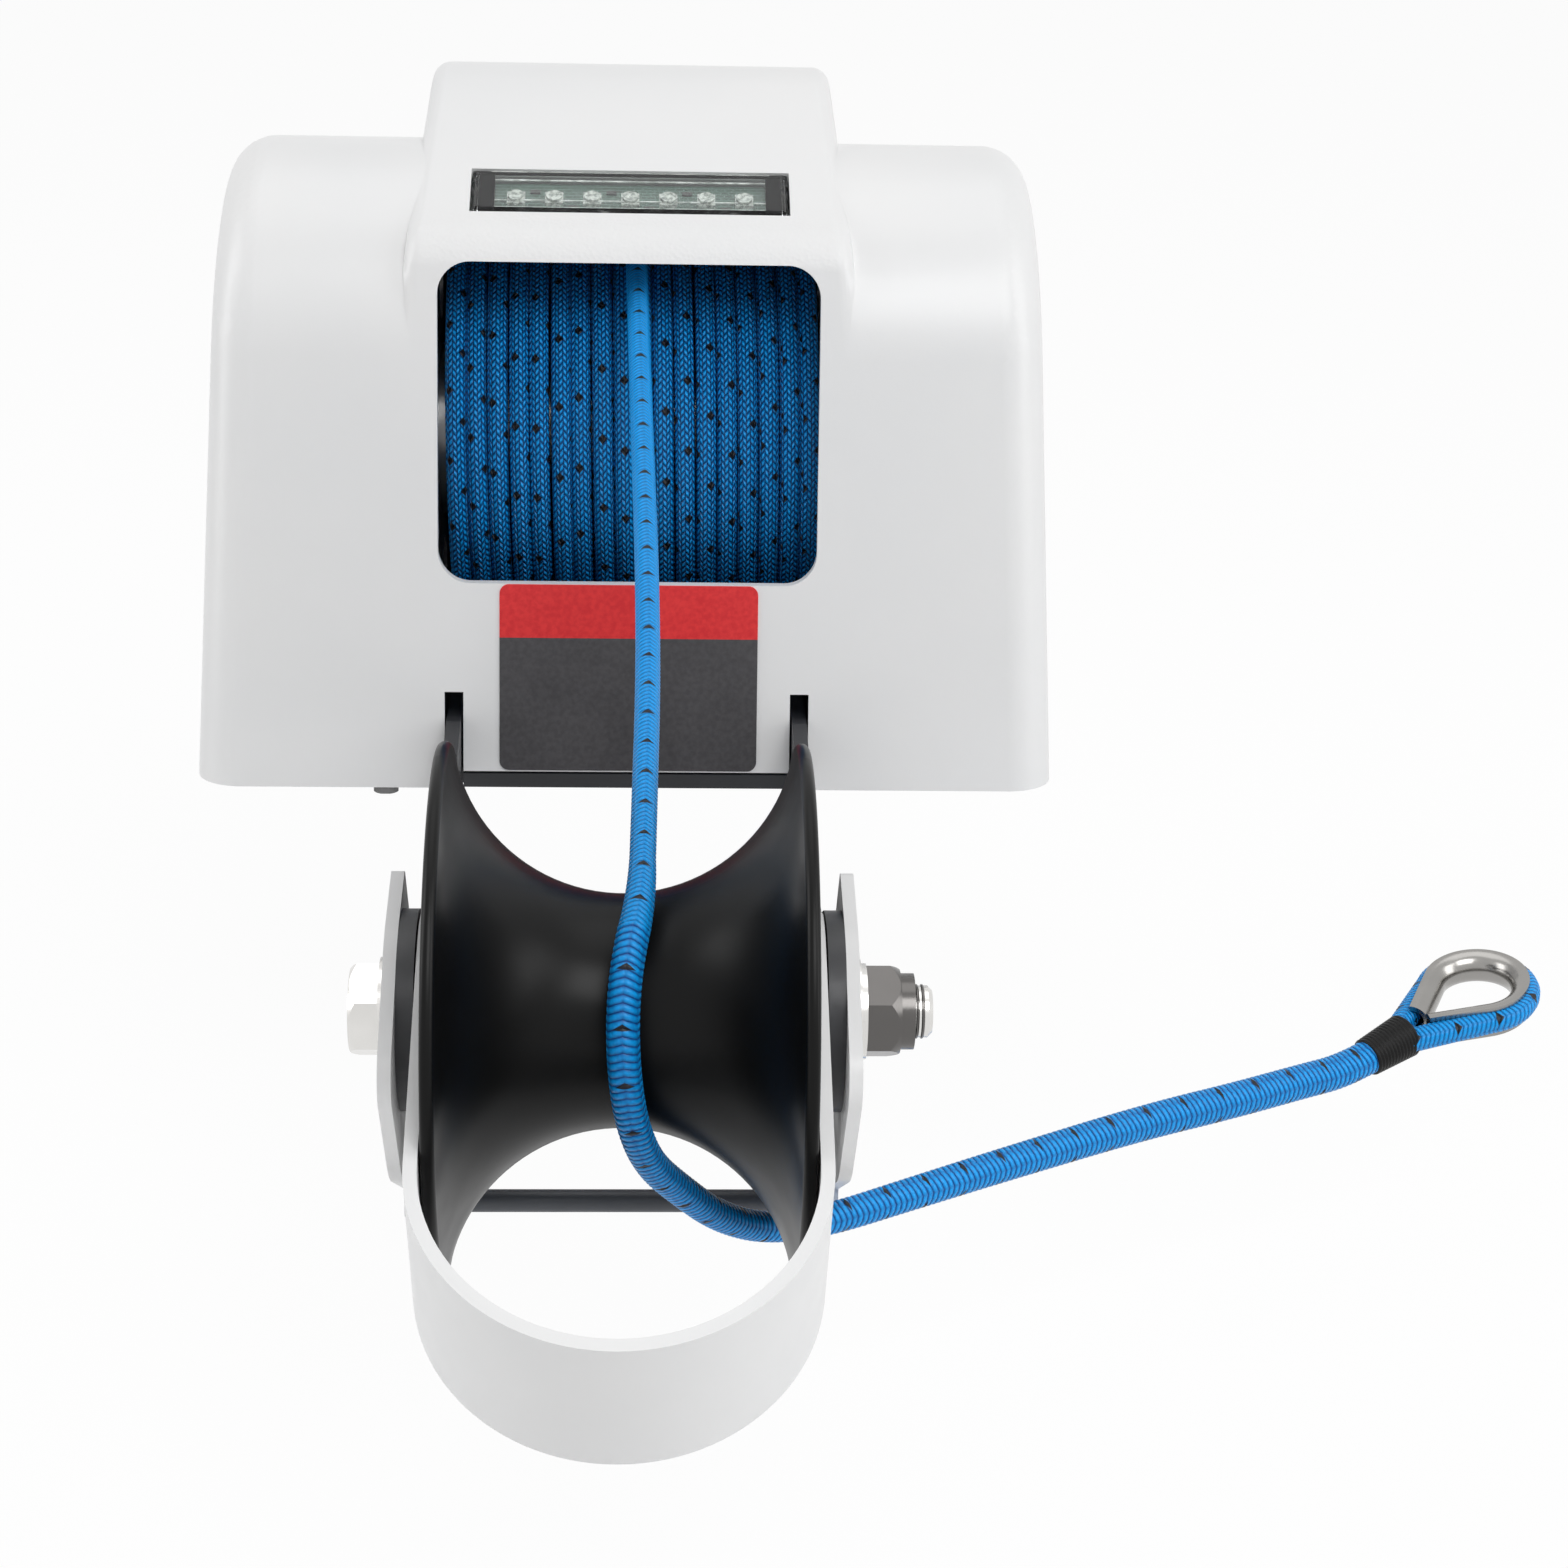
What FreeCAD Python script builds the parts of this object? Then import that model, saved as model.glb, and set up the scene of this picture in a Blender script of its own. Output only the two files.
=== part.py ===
import FreeCAD, Part
import math
import os

# Deck-mounted anchor windlass with a davit roller, in millimetres, +Z up.
# The origin is the middle of the base plate's underside, which rests on the deck at Z = 0.
# X runs along the drum and the roller axle, -Y points forward over the bow.

V = FreeCAD.Vector
X_AXIS = V(1, 0, 0)
Y_AXIS = V(0, 1, 0)
Z_AXIS = V(0, 0, 1)
ORIGIN = V(0, 0, 0)

# Housing cover: a moulded shell with two wings and a raised middle.
housing_width = 240.0
housing_depth = 190.0
wing_height = 170.0
cover_wall = 3.0
side_draft = 2.5
front_lean = 9.9
rear_draft = 3.0
crest_radius = 64.0
rear_radius = 28.0
wing_edge_radius = 13.0
wing_side_room = 12.0
hump_rise = 18.6
hump_side_room = 2.0
hump_draft = 5.4
hump_bend_drop = 22.0
hump_slope = 28.7
hump_edge_radius = 5.0
hump_bend_radius = 15.0
hump_crest_radius = 40.0

# Openings in the cover.
window_reveal = 2.75
window_bottom = 56.3
window_head = 5.5
window_corner = 9.0
led_slot_margin = 13.0
led_slot_height = 19.0
led_slot_up_slope = 22.3
arm_slot_height = 26.5
arm_slot_gap = 0.6
rim_lift = 4.7

# Base plate and the screws that hold the cover on it.
plate_thickness = 4.0
plate_gap = 0.6
deck_bolt_side = 12.9
deck_bolt_inset = 15.0
deck_bolt_radius = 4.25
cover_screw_side = 3.0
cover_screw_inset = 8.5
cover_screw_radius = 2.0
cover_screw_head = 4.2
cover_boss_radius = 5.0
cover_boss_height = 30.0

# Cable gland in the rear wall.
gland_inset = 36.0
gland_height = 30.0
gland_radius = 8.0
gland_bore = 3.5
gland_nut = 5.0

# Davit: two arms, two white cheeks and a tie rod under the roller.
axle_reach = 169.3
axle_height = 6.15
axle_radius = 6.0
arm_side_gap = 10.1
arm_top_gap = 7.0
arm_dip_reach = 93.0
arm_dip_top = 11.2
arm_dip_bottom = 31.0
arm_dip_radius = 60.0
arm_thickness = 4.0
arm_end_radius = 23.0
arm_foot_width = 24.0
arm_foot_start = 7.0
arm_foot_length = 55.0
cheek_thickness = 3.0
cross_bar_back = 36.0
cross_bar_drop = 66.4
cross_bar_radius = 2.8
cross_bar_tenon = 1.6
cheek_toe = 4.0

# Roller.
roller_side_gap = 0.4
roller_rim_radius = 61.1
roller_waist_radius = 26.7
roller_rim_edge = 3.2
roller_mouth_edge = 2.8
roller_hub_radius = 17.0
roller_hub_recess = 3.9
roller_web_wall = 5.0
bush_wall = 3.0
running_gap = 0.06
side_gap = 0.3

# Bail: a bent strap that hangs on the axle in front of the roller.
bail_breadth = 45.0
bail_thickness = 3.0
bail_bend_lead = 3.0
bail_dip = 29.0
bail_side_gap = 0.4

# Axle fastenings.
hex_across_flats = 19.5
bolt_head_height = 6.8
axle_washer_radius = 12.0
left_washer = 1.8
right_washer = 2.6
nut_height = 11.0
nut_collar_height = 3.2
bolt_end_past_nut = 4.2

# Drum with its rope.
drum_back = 87.0
drum_height = 82.0
winding_radius = 62.0
core_radius = 25.0
flange_radius = 65.0
flange_thickness = 3.0
drum_shaft_radius = 8.0
bearing_gap = 2.0
bearing_thickness = 4.0
bearing_bush_wall = 3.0
bearing_bush_flange = 14.0
bearing_bush_rim = 1.2
foot_width = 15.0
bearing_rear_room = 16.0
foot_start = 24.0
foot_length = 94.0
foot_screw_radius = 3.0
foot_screw_back = (38.0, 104.0)
tie_radius = 5.0
tie_tenon = 3.5
front_tie = (28.0, 38.0)
rear_low_tie = (156.0, 20.0)
rear_top_tie = (155.0, 108.0)

# Gear train in the left wing, from the motor to the drum.
drum_module = 1.5
drum_teeth = 56
idler_pinion_teeth = 14
idler_module = 1.0
idler_teeth = 72
motor_pinion_teeth = 12
drum_gear_width = 10.0
idler_gear_width = 6.0
backlash = 0.30
idler_pin_radius = 4.0
idler_sleeve_radius = 7.0
idler_gear_gap = 1.5

# Motor, low and to the rear in the left wing.
motor_back = 147.0
motor_height = 36.0
motor_radius = 27.0
motor_wall = 2.0
motor_can_length = 32.0
motor_cap_length = 4.5
motor_shaft_radius = 2.5
magnet_thickness = 4.5
armature_radius = 17.5

# Control board in the right wing.
board_length = 84.0
board_height = 66.0
board_thickness = 1.6
standoff_length = 12.0
standoff_radius = 3.0
relay_size = 27.0
relay_depth = 20.0

# Stern light in the slope of the cover.
lens_thickness = 6.0
lens_wall = 1.6
led_pitch = 10.5
led_end_room = 12.0

# Rope: the plain rope, its spliced end and the eye.
rope_radius = 3.0
splice_radius = 4.4
eye_rope_radius = 3.4
eye_inner_radius = 9.0
eye_throat = 27.6
eye_roll = 5.0
thimble_wall = 1.4
thimble_lip = 0.6
thimble_gap = 0.02
whipping_length = 11.0
whipping_radius = 6.2

front_y = -housing_depth / 2
axle_y = front_y - axle_reach
drum_y = front_y + drum_back
motor_y = front_y + motor_back

# From the cover's side inwards: the motor and its gear fill the left wing up to the bearing plate, the
# drum lies between the bearing plates, and the arms, the bail and the roller lie inside those again.
motor_stack = motor_can_length + motor_cap_length + idler_gear_gap
bearing_outer_x = housing_width / 2 - wing_side_room - idler_gear_width - motor_stack
bearing_inner_x = bearing_outer_x - bearing_thickness
winding_width = 2 * (bearing_inner_x - bearing_gap - flange_thickness)
gear_x_low = bearing_outer_x + bearing_bush_rim + 1.8
idler_gear_x = bearing_outer_x + motor_stack
arm_outer_x = bearing_inner_x - arm_side_gap
arm_inner_x = arm_outer_x - arm_thickness
arm_centre_x = (arm_outer_x + arm_inner_x) / 2
cheek_outer_x = arm_outer_x + cheek_thickness
bail_outer_x = arm_inner_x - bail_side_gap
bail_inner_x = bail_outer_x - bail_thickness
roller_width = 2 * (bail_inner_x - roller_side_gap)
bail_reach = roller_rim_radius - bail_bend_lead + bail_outer_x
cover_screw_x = bearing_outer_x + cover_screw_side
gland_x = housing_width / 2 - gland_inset
deck_bolt_x = 2 * (arm_inner_x - deck_bolt_side)
deck_bolt_y = housing_depth - 2 * deck_bolt_inset

# The raised middle of the cover spans the drum, and its window and light follow from it.
hump_height = wing_height + hump_rise
hump_bend_height = wing_height - hump_bend_drop
hump_top_width = winding_width + 2 * hump_side_room
window_width = winding_width - 2 * window_reveal
window_top = hump_bend_height - window_head
led_slot_width = hump_top_width - 2 * led_slot_margin
led_count = 1 + int((led_slot_width - 2 * led_end_room) / led_pitch)

dip = math.radians(bail_dip)
floor_z = axle_height - bail_reach * math.sin(dip) - bail_breadth / 2 * math.cos(dip)


def back(distance):
    """Y of a point this far behind the cover's front bottom edge."""
    return front_y + distance


def rounded_outline(points, radii):
    """Closed wire through 2D points in the YZ plane, each corner rounded to its own radius."""
    edges = []
    count = len(points)
    starts = []
    ends = []
    middles = []
    for i in range(count):
        corner = V(0, *points[i])
        to_last = (V(0, *points[i - 1]) - corner).normalize()
        to_next = (V(0, *points[(i + 1) % count]) - corner).normalize()
        if radii[i] <= 0:
            starts.append(corner)
            ends.append(corner)
            middles.append(None)
            continue
        half = to_last.getAngle(to_next) / 2
        setback = radii[i] / math.tan(half)
        bisector = (to_last + to_next).normalize()
        starts.append(corner + to_last * setback)
        ends.append(corner + to_next * setback)
        middles.append(corner + bisector * (radii[i] / math.sin(half) - radii[i]))
    for i in range(count):
        if middles[i] is not None:
            edges.append(Part.Arc(starts[i], middles[i], ends[i]).toShape())
        following = starts[(i + 1) % count]
        if (following - ends[i]).Length > 1e-6:
            edges.append(Part.LineSegment(ends[i], following).toShape())
    return Part.Wire(edges)


def slab(points, radii, x_low, x_high):
    """Flat plate with a rounded YZ outline between two X positions."""
    face = Part.Face(rounded_outline(points, radii))
    face.translate(V(x_low, 0, 0))
    return face.extrude(V(x_high - x_low, 0, 0))


def inset_polygon(points, offsets):
    """Move each side of a clockwise YZ polygon inwards by its own offset."""
    count = len(points)
    lines = []
    for i in range(count):
        start = V(0, *points[i])
        along = (V(0, *points[(i + 1) % count]) - start).normalize()
        inward = V(0, along.z, -along.y)
        lines.append((start + inward * offsets[i], along))
    result = []
    for i in range(count):
        p, u = lines[i - 1]
        q, w = lines[i]
        t = ((q.y - p.y) * w.z - (q.z - p.z) * w.y) / (u.y * w.z - u.z * w.y)
        result.append((p.y + u.y * t, p.z + u.z * t))
    return result


def rod(radius, x_low, x_high, y, z):
    """Round bar along X."""
    return Part.makeCylinder(radius, x_high - x_low, V(x_low, y, z), X_AXIS)


def ring(outer, inner, x_low, x_high, y, z):
    """Round bar along X with a through bore."""
    return rod(outer, x_low, x_high, y, z).cut(rod(inner, x_low, x_high, y, z))


def block(x_low, x_high, y_low, y_high, z_low, z_high):
    return Part.makeBox(x_high - x_low, y_high - y_low, z_high - z_low, V(x_low, y_low, z_low))


def hexagon(across_flats, x_low, x_high, y, z):
    """Hexagonal bar along X with its corners at the top and bottom."""
    corner = across_flats / math.sqrt(3)
    points = []
    for i in range(7):
        turn = math.radians(60 * i + 90)
        points.append(V(x_low, y + corner * math.cos(turn), z + corner * math.sin(turn)))
    return Part.Face(Part.makePolygon(points)).extrude(V(x_high - x_low, 0, 0))


def side_outline(half_width, draft, bottom, top, y_low, y_high):
    """Block whose side faces lean inwards towards the top."""
    low = half_width - bottom * math.tan(math.radians(draft))
    high = half_width - top * math.tan(math.radians(draft))
    points = [V(-low, y_low, bottom), V(-high, y_low, top), V(high, y_low, top), V(low, y_low, bottom)]
    points.append(points[0])
    return Part.Face(Part.makePolygon(points)).extrude(V(0, y_high - y_low, 0))


def round_side_edges(solid, half_width, draft, bottom, radius):
    """Fillet the edges between the leaning side faces and the faces across them."""
    lean = math.tan(math.radians(draft))
    chosen = []
    for edge in solid.Edges:
        on_side = all(abs(abs(v.X) - (half_width - v.Z * lean)) < 0.01 for v in edge.Vertexes)
        off_bottom = max(v.Z for v in edge.Vertexes) > bottom + 0.01
        one_side = len({v.X > 0 for v in edge.Vertexes}) == 1
        if on_side and off_bottom and one_side:
            chosen.append(edge)
    return solid.makeFillet(radius, chosen)


def cover_form(inset, drop):
    """Solid form of the cover, every face moved inwards by inset and the bottom lowered by drop."""
    lean = math.tan(math.radians(front_lean))
    rear_lean = math.tan(math.radians(rear_draft))
    wing = [
        (front_y, 0),
        (front_y + wing_height * lean, wing_height),
        (front_y + housing_depth - wing_height * rear_lean, wing_height),
        (front_y + housing_depth, 0),
    ]
    wing = inset_polygon(wing, [inset, inset, inset, -drop])
    half = housing_width / 2 - inset / math.cos(math.radians(side_draft))
    body = slab(wing, [0, crest_radius - inset, rear_radius - inset, 0], -half - 5, half + 5)
    sides = side_outline(half, side_draft, -drop, wing_height + 5, front_y - 5, front_y + housing_depth + 5)
    body = round_side_edges(body.common(sides), half, side_draft, -drop, wing_edge_radius - inset)

    bend_y = front_y + hump_bend_height * lean
    rise = hump_height - hump_bend_height
    crest_y = bend_y + rise / math.tan(math.radians(hump_slope))
    hump = [
        (front_y, 0),
        (bend_y, hump_bend_height),
        (crest_y, hump_height),
        (front_y + housing_depth - hump_height * rear_lean, hump_height),
        (front_y + housing_depth, 0),
    ]
    hump = inset_polygon(hump, [inset, inset, inset, inset, -drop])
    hump_lean = math.tan(math.radians(hump_draft))
    hump_half = hump_top_width / 2 + hump_height * hump_lean - inset / math.cos(math.radians(hump_draft))
    radii = [0, hump_bend_radius - inset, hump_crest_radius - inset, rear_radius - inset, 0]
    raised = slab(hump, radii, -hump_half - 5, hump_half + 5)
    cheeks = side_outline(hump_half, hump_draft, -drop, hump_height + 5, front_y - 5,
                          front_y + housing_depth + 5)
    raised = raised.common(cheeks)
    raised = round_side_edges(raised, hump_half, hump_draft, -drop, hump_edge_radius - inset)
    return body.fuse(raised).removeSplitter()


def on_slope(shape):
    """Set a shape built flat about the origin into the middle of the light slot on the cover."""
    bend_y = front_y + hump_bend_height * math.tan(math.radians(front_lean))
    slope = math.radians(hump_slope)
    shape.rotate(ORIGIN, X_AXIS, hump_slope)
    shape.translate(V(0, bend_y + led_slot_up_slope * math.cos(slope),
                      hump_bend_height + led_slot_up_slope * math.sin(slope)))
    return shape


def screw_places():
    """Centres of the screws that hold the cover, on the base plate."""
    places = []
    for x in (-cover_screw_x, cover_screw_x):
        for y in (front_y + cover_screw_inset, front_y + housing_depth - cover_screw_inset):
            places.append(V(x, y, 0))
    return places


def housing_cover():
    outer = cover_form(0, 0)
    cover = outer.cut(cover_form(cover_wall, 5))

    bosses = []
    for place in screw_places():
        low = place + V(0, 0, plate_thickness)
        boss = Part.makeCylinder(cover_boss_radius, cover_boss_height - plate_thickness, low)
        bosses.append(boss.common(outer))
    cover = cover.fuse(bosses)
    for place in screw_places():
        cover = cover.cut(Part.makeCylinder(cover_screw_radius, cover_boss_height - 6, place))

    half = window_width / 2
    opening = block(-half, half, front_y - 5, front_y + 60, window_bottom, window_top)
    uprights = [e for e in opening.Edges if e.Length > 60 and abs(e.tangentAt(0).y) > 0.9]
    cover = cover.cut(opening.makeFillet(window_corner, uprights))

    slot = block(-led_slot_width / 2, led_slot_width / 2, -led_slot_height / 2, led_slot_height / 2,
                 -cover_wall - 4, 10)
    cover = cover.cut(on_slope(slot))

    slot_half = arm_thickness / 2 + arm_slot_gap
    for side in (-1, 1):
        centre = side * arm_centre_x
        cover = cover.cut(block(centre - slot_half, centre + slot_half, front_y - 5, front_y + 12,
                                -1, arm_slot_height))
    middle = arm_centre_x
    cover = cover.cut(block(-middle, middle, front_y - 5, front_y + 6, -1, rim_lift))
    cover = cover.cut(gland_hole(cover_wall + 20))
    return cover.removeSplitter()


def gland_hole(length):
    """Round hole for the cable gland through the rear wall."""
    return Part.makeCylinder(gland_radius, length, V(gland_x, front_y + housing_depth - 15, gland_height),
                             V(0, 1, 0))


def cable_gland():
    """Threaded body with a hexagon, a dome nut outside the rear wall and a lock nut inside."""
    wall_y = front_y + housing_depth - gland_height * math.tan(math.radians(rear_draft))
    outside = wall_y + 0.9
    inside = wall_y - cover_wall - 1.2
    along = V(0, 1, 0)
    stub = gland_nut + 3
    body = Part.makeCylinder(gland_radius, outside - inside + stub + gland_nut + 1,
                             V(gland_x, inside - stub, gland_height), along)
    nut = Part.makeCylinder(gland_radius + 4, gland_nut, V(gland_x, inside - gland_nut, gland_height), along)
    collar = Part.makeCylinder(gland_radius + 4, gland_nut, V(gland_x, outside, gland_height), along)
    dome = Part.makeCone(gland_radius + 3, gland_radius - 1, 9,
                         V(gland_x, outside + gland_nut, gland_height), along)
    gland = body.fuse([nut, collar, dome])
    bore = Part.makeCylinder(gland_bore, 60, V(gland_x, inside - 20, gland_height), along)
    return gland.cut(bore).removeSplitter()


def rim_bumper():
    """Small rubber bump under the cover's left front rim."""
    return Part.makeCylinder(3.5, 2.0, V(-cover_screw_x, front_y + 3.6, -2.0)).common(
        block(-housing_width, 0, front_y + 0.3, front_y + 3.0, -3, 0))


def base_plate():
    """Flat plate inside the cover with a tongue that shows under the raised rim."""
    inset = cover_wall + plate_gap
    half = housing_width / 2 - inset - plate_thickness * math.tan(math.radians(side_draft))
    plate = block(-half, half, front_y + inset + 0.8, front_y + housing_depth - inset - 0.3,
                  0, plate_thickness)
    corners = [e for e in plate.Edges if abs(e.tangentAt(0).z) > 0.9]
    plate = plate.makeFillet(wing_edge_radius - cover_wall, corners)
    tongue_half = arm_inner_x - 0.6
    plate = plate.fuse(block(-tongue_half, tongue_half, front_y + 0.9, front_y + 20, 0, plate_thickness))
    for x in (-deck_bolt_x / 2, deck_bolt_x / 2):
        for y in (-deck_bolt_y / 2, deck_bolt_y / 2):
            plate = plate.cut(Part.makeCylinder(deck_bolt_radius, plate_thickness, V(x, y, 0)))
    for place in screw_places():
        plate = plate.cut(Part.makeCylinder(cover_screw_radius + 0.3, plate_thickness, place))
        plate = plate.cut(Part.makeCone(cover_screw_head + 0.3, cover_screw_radius + 0.3, 2.4, place))
    for place in foot_screw_places():
        plate = plate.cut(Part.makeCylinder(foot_screw_radius, plate_thickness, place))
    return plate.removeSplitter()


def cover_screws():
    """Four countersunk screws up through the base plate into the cover's bosses."""
    screws = []
    for place in screw_places():
        head = Part.makeCone(cover_screw_head, cover_screw_radius, 2.2, place + V(0, 0, 0.2))
        shank = Part.makeCylinder(cover_screw_radius, cover_boss_height - 12, place + V(0, 0, 2.4))
        screws.append(head.fuse(shank).removeSplitter())
    return Part.makeCompound(screws)


def foot_screw_places():
    """Centres of the screws through the bearing plates' feet."""
    places = []
    for side in (-1, 1):
        for y in foot_screw_back:
            places.append(V(side * (bearing_outer_x + foot_width / 2), back(y), 0))
    return places


def plate_screws():
    """Socket screws that hold the bearing plates' feet on the base plate."""
    screws = []
    for place in foot_screw_places():
        shank = Part.makeCylinder(foot_screw_radius, 2 * plate_thickness - 0.5, place + V(0, 0, 0.5))
        head = Part.makeCylinder(foot_screw_radius + 2, 4.5, place + V(0, 0, 2 * plate_thickness))
        screws.append(shank.fuse(head).removeSplitter())
    return Part.makeCompound(screws)


def tangent_point(outside, centre, radius, side):
    """Point where a line from outside touches a circle, both in the YZ plane."""
    reach = math.hypot(outside[0] - centre[0], outside[1] - centre[1])
    base = math.atan2(outside[1] - centre[1], outside[0] - centre[0])
    turn = base + side * math.acos(radius / reach)
    return (centre[0] + radius * math.cos(turn), centre[1] + radius * math.sin(turn))


def davit_arm(side):
    """Arm plate from inside the cover down to the dip and up to the axle, with a foot on the base plate."""
    centre = (axle_y, axle_height)
    arm_top = arm_slot_height - arm_top_gap
    top_dip = (back(-arm_dip_reach), axle_height - arm_dip_top)
    low_dip = (back(-arm_dip_reach), axle_height - arm_dip_bottom)
    top_touch = tangent_point(top_dip, centre, arm_end_radius, 1)
    low_touch = tangent_point(low_dip, centre, arm_end_radius, -1)
    outline = [
        (back(-1.0), plate_thickness),
        low_dip,
        low_touch,
        (axle_y, axle_height),
        top_touch,
        top_dip,
        (back(0), arm_top),
        (back(24), arm_top),
        (back(46), 4 * plate_thickness),
        (back(arm_foot_start + arm_foot_length), 3 * plate_thickness),
        (back(arm_foot_start + arm_foot_length), plate_thickness),
    ]
    radii = [0, arm_dip_radius, 0, 0, 0, arm_dip_radius, 0, 10, 10, 0, 0]
    low, high = sorted((side * arm_inner_x, side * arm_outer_x))
    arm = slab(outline, radii, low, high)
    arm = arm.fuse(rod(arm_end_radius, low, high, axle_y, axle_height))
    low, high = sorted((side * (arm_inner_x - arm_foot_width), side * arm_outer_x))
    foot = block(low, high, back(arm_foot_start), back(arm_foot_start + arm_foot_length),
                 plate_thickness, 2 * plate_thickness)
    arm = arm.fuse(foot)
    arm = arm.cut(Part.makeCylinder(deck_bolt_radius, 10, V(side * deck_bolt_x / 2, -deck_bolt_y / 2,
                                                            plate_thickness - 1)))
    return arm.cut(rod(axle_radius, -housing_width, housing_width, axle_y, axle_height)).removeSplitter()


def davit_cheek(side):
    """White guide plate outside the arm's end, pointed at the top, down to the tie rod."""
    bar_y = axle_y + cross_bar_back
    bar_z = axle_height - cross_bar_drop
    outline = [
        (axle_y + 15.3, axle_height + 28.5),
        (axle_y - 9.0, axle_height + 21.5),
        (axle_y - 39.0, axle_height - 2.0),
        (axle_y - 10.0, axle_height - 38.0),
        (bar_y - cheek_toe, bar_z + 5.2),
        (bar_y - cheek_toe, floor_z + 0.3),
        (bar_y + 7.0, floor_z + 0.3),
        (bar_y + 8.5, axle_height - 10.0),
    ]
    radii = [3.0, 20.0, 9.0, 40.0, 2.0, 2.0, 3.0, 20.0]
    low, high = sorted((side * arm_outer_x, side * cheek_outer_x))
    cheek = slab(outline, radii, low, high)
    cheek = cheek.cut(rod(axle_radius, -housing_width, housing_width, axle_y, axle_height))
    return cheek.cut(rod(cross_bar_tenon, -housing_width, housing_width, bar_y, bar_z))


def cross_bar():
    """Tie rod between the cheeks under the roller, its thinner ends flush in the plates."""
    y = axle_y + cross_bar_back
    z = axle_height - cross_bar_drop
    bar = rod(cross_bar_radius, -arm_outer_x, arm_outer_x, y, z)
    ends = rod(cross_bar_tenon, -cheek_outer_x, cheek_outer_x, y, z)
    return bar.fuse(ends).removeSplitter()


def revolve_about_axle(points, arcs, y, z):
    """Turn an (x, radius) outline about an X axis; arcs maps a side's index to its middle point."""
    edges = []
    for i in range(len(points)):
        start = V(points[i][0], 0, points[i][1])
        end_pair = points[(i + 1) % len(points)]
        end = V(end_pair[0], 0, end_pair[1])
        if i in arcs:
            middle = V(arcs[i][0], 0, arcs[i][1])
            edges.append(Part.Arc(start, middle, end).toShape())
        else:
            edges.append(Part.LineSegment(start, end).toShape())
    solid = Part.Face(Part.Wire(edges)).revolve(ORIGIN, X_AXIS, 360)
    solid.translate(V(0, y, z))
    return solid


def roller():
    """Waisted roller: a round groove between two thin rims, hollow sides and a hub."""
    half = roller_width / 2
    rim_x = half - roller_rim_edge
    crown_x = half - roller_rim_edge / 2
    shoulder = roller_rim_radius - roller_rim_edge / 2
    rise = shoulder - roller_waist_radius
    groove_radius = (rim_x ** 2 + rise ** 2) / (2 * rise)
    groove_centre = roller_waist_radius + groove_radius
    hub_x = half - roller_hub_recess
    pocket_x = half * 0.55
    web_radius = groove_centre - math.sqrt((groove_radius + roller_web_wall) ** 2 - pocket_x ** 2)
    mouth_x = half - roller_mouth_edge
    mouth = groove_centre - math.sqrt((groove_radius + roller_web_wall) ** 2 - mouth_x ** 2)
    bore = axle_radius + bush_wall
    points = [
        (-rim_x, shoulder),
        (rim_x, shoulder),
        (half, shoulder),
        (half, mouth + 1.0),
        (mouth_x, mouth),
        (pocket_x, web_radius),
        (pocket_x, roller_hub_radius),
        (hub_x, roller_hub_radius),
        (hub_x, bore),
        (-hub_x, bore),
        (-hub_x, roller_hub_radius),
        (-pocket_x, roller_hub_radius),
        (-pocket_x, web_radius),
        (-mouth_x, mouth),
        (-half, mouth + 1.0),
        (-half, shoulder),
    ]
    arcs = {
        0: (0, roller_waist_radius),
        1: (crown_x, roller_rim_radius),
        len(points) - 1: (-crown_x, roller_rim_radius),
    }
    return revolve_about_axle(points, arcs, axle_y, axle_height)


def roller_bush():
    """Plain bush pressed into the roller, running on the axle bolt."""
    hub_x = roller_width / 2 - roller_hub_recess
    return ring(axle_radius + bush_wall, axle_radius + running_gap, -hub_x, hub_x, axle_y, axle_height)


def roller_washers():
    """Thrust washers on the bolt, in the recess at each end of the roller."""
    low = roller_width / 2 - roller_hub_recess + side_gap
    high = bail_inner_x - side_gap
    return Part.makeCompound([
        ring(12.0, axle_radius, -high, -low, axle_y, axle_height),
        ring(12.0, axle_radius, low, high, axle_y, axle_height),
    ])


def bail():
    """Broad strap bent to a U round the roller, its rounded ends on the axle."""
    bend = bail_outer_x
    straight = bail_reach - bend
    start = -bail_breadth / 2 - 1

    def u_face(grow):
        r = bend - grow
        edges = [
            Part.LineSegment(V(-r, -start, 0), V(-r, -straight, 0)).toShape(),
            Part.Arc(V(-r, -straight, 0), V(0, -straight - r, 0), V(r, -straight, 0)).toShape(),
            Part.LineSegment(V(r, -straight, 0), V(r, -start, 0)).toShape(),
            Part.LineSegment(V(r, -start, 0), V(-r, -start, 0)).toShape(),
        ]
        return Part.Face(Part.Wire(edges))

    strap = u_face(0).extrude(V(0, 0, bail_breadth))
    inner = u_face(bail_thickness).extrude(V(0, 0, bail_breadth))
    inner_open = inner.fuse(block(bail_thickness - bend, bend - bail_thickness, -1, -start + 5,
                                  0, bail_breadth))
    strap = strap.cut(inner_open)
    strap.translate(V(0, 0, -bail_breadth / 2))
    keep = block(-bend, bend, -bail_reach - 1, 0, -bail_breadth / 2, bail_breadth / 2)
    keep = keep.fuse(rod(bail_breadth / 2, -bend, bend, 0, 0))
    strap = strap.common(keep)
    strap = strap.cut(rod(axle_radius + running_gap, -bend - 5, bend + 5, 0, 0))
    strap.rotate(ORIGIN, X_AXIS, bail_dip)
    strap.translate(V(0, axle_y, axle_height))
    return strap.removeSplitter()


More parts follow.
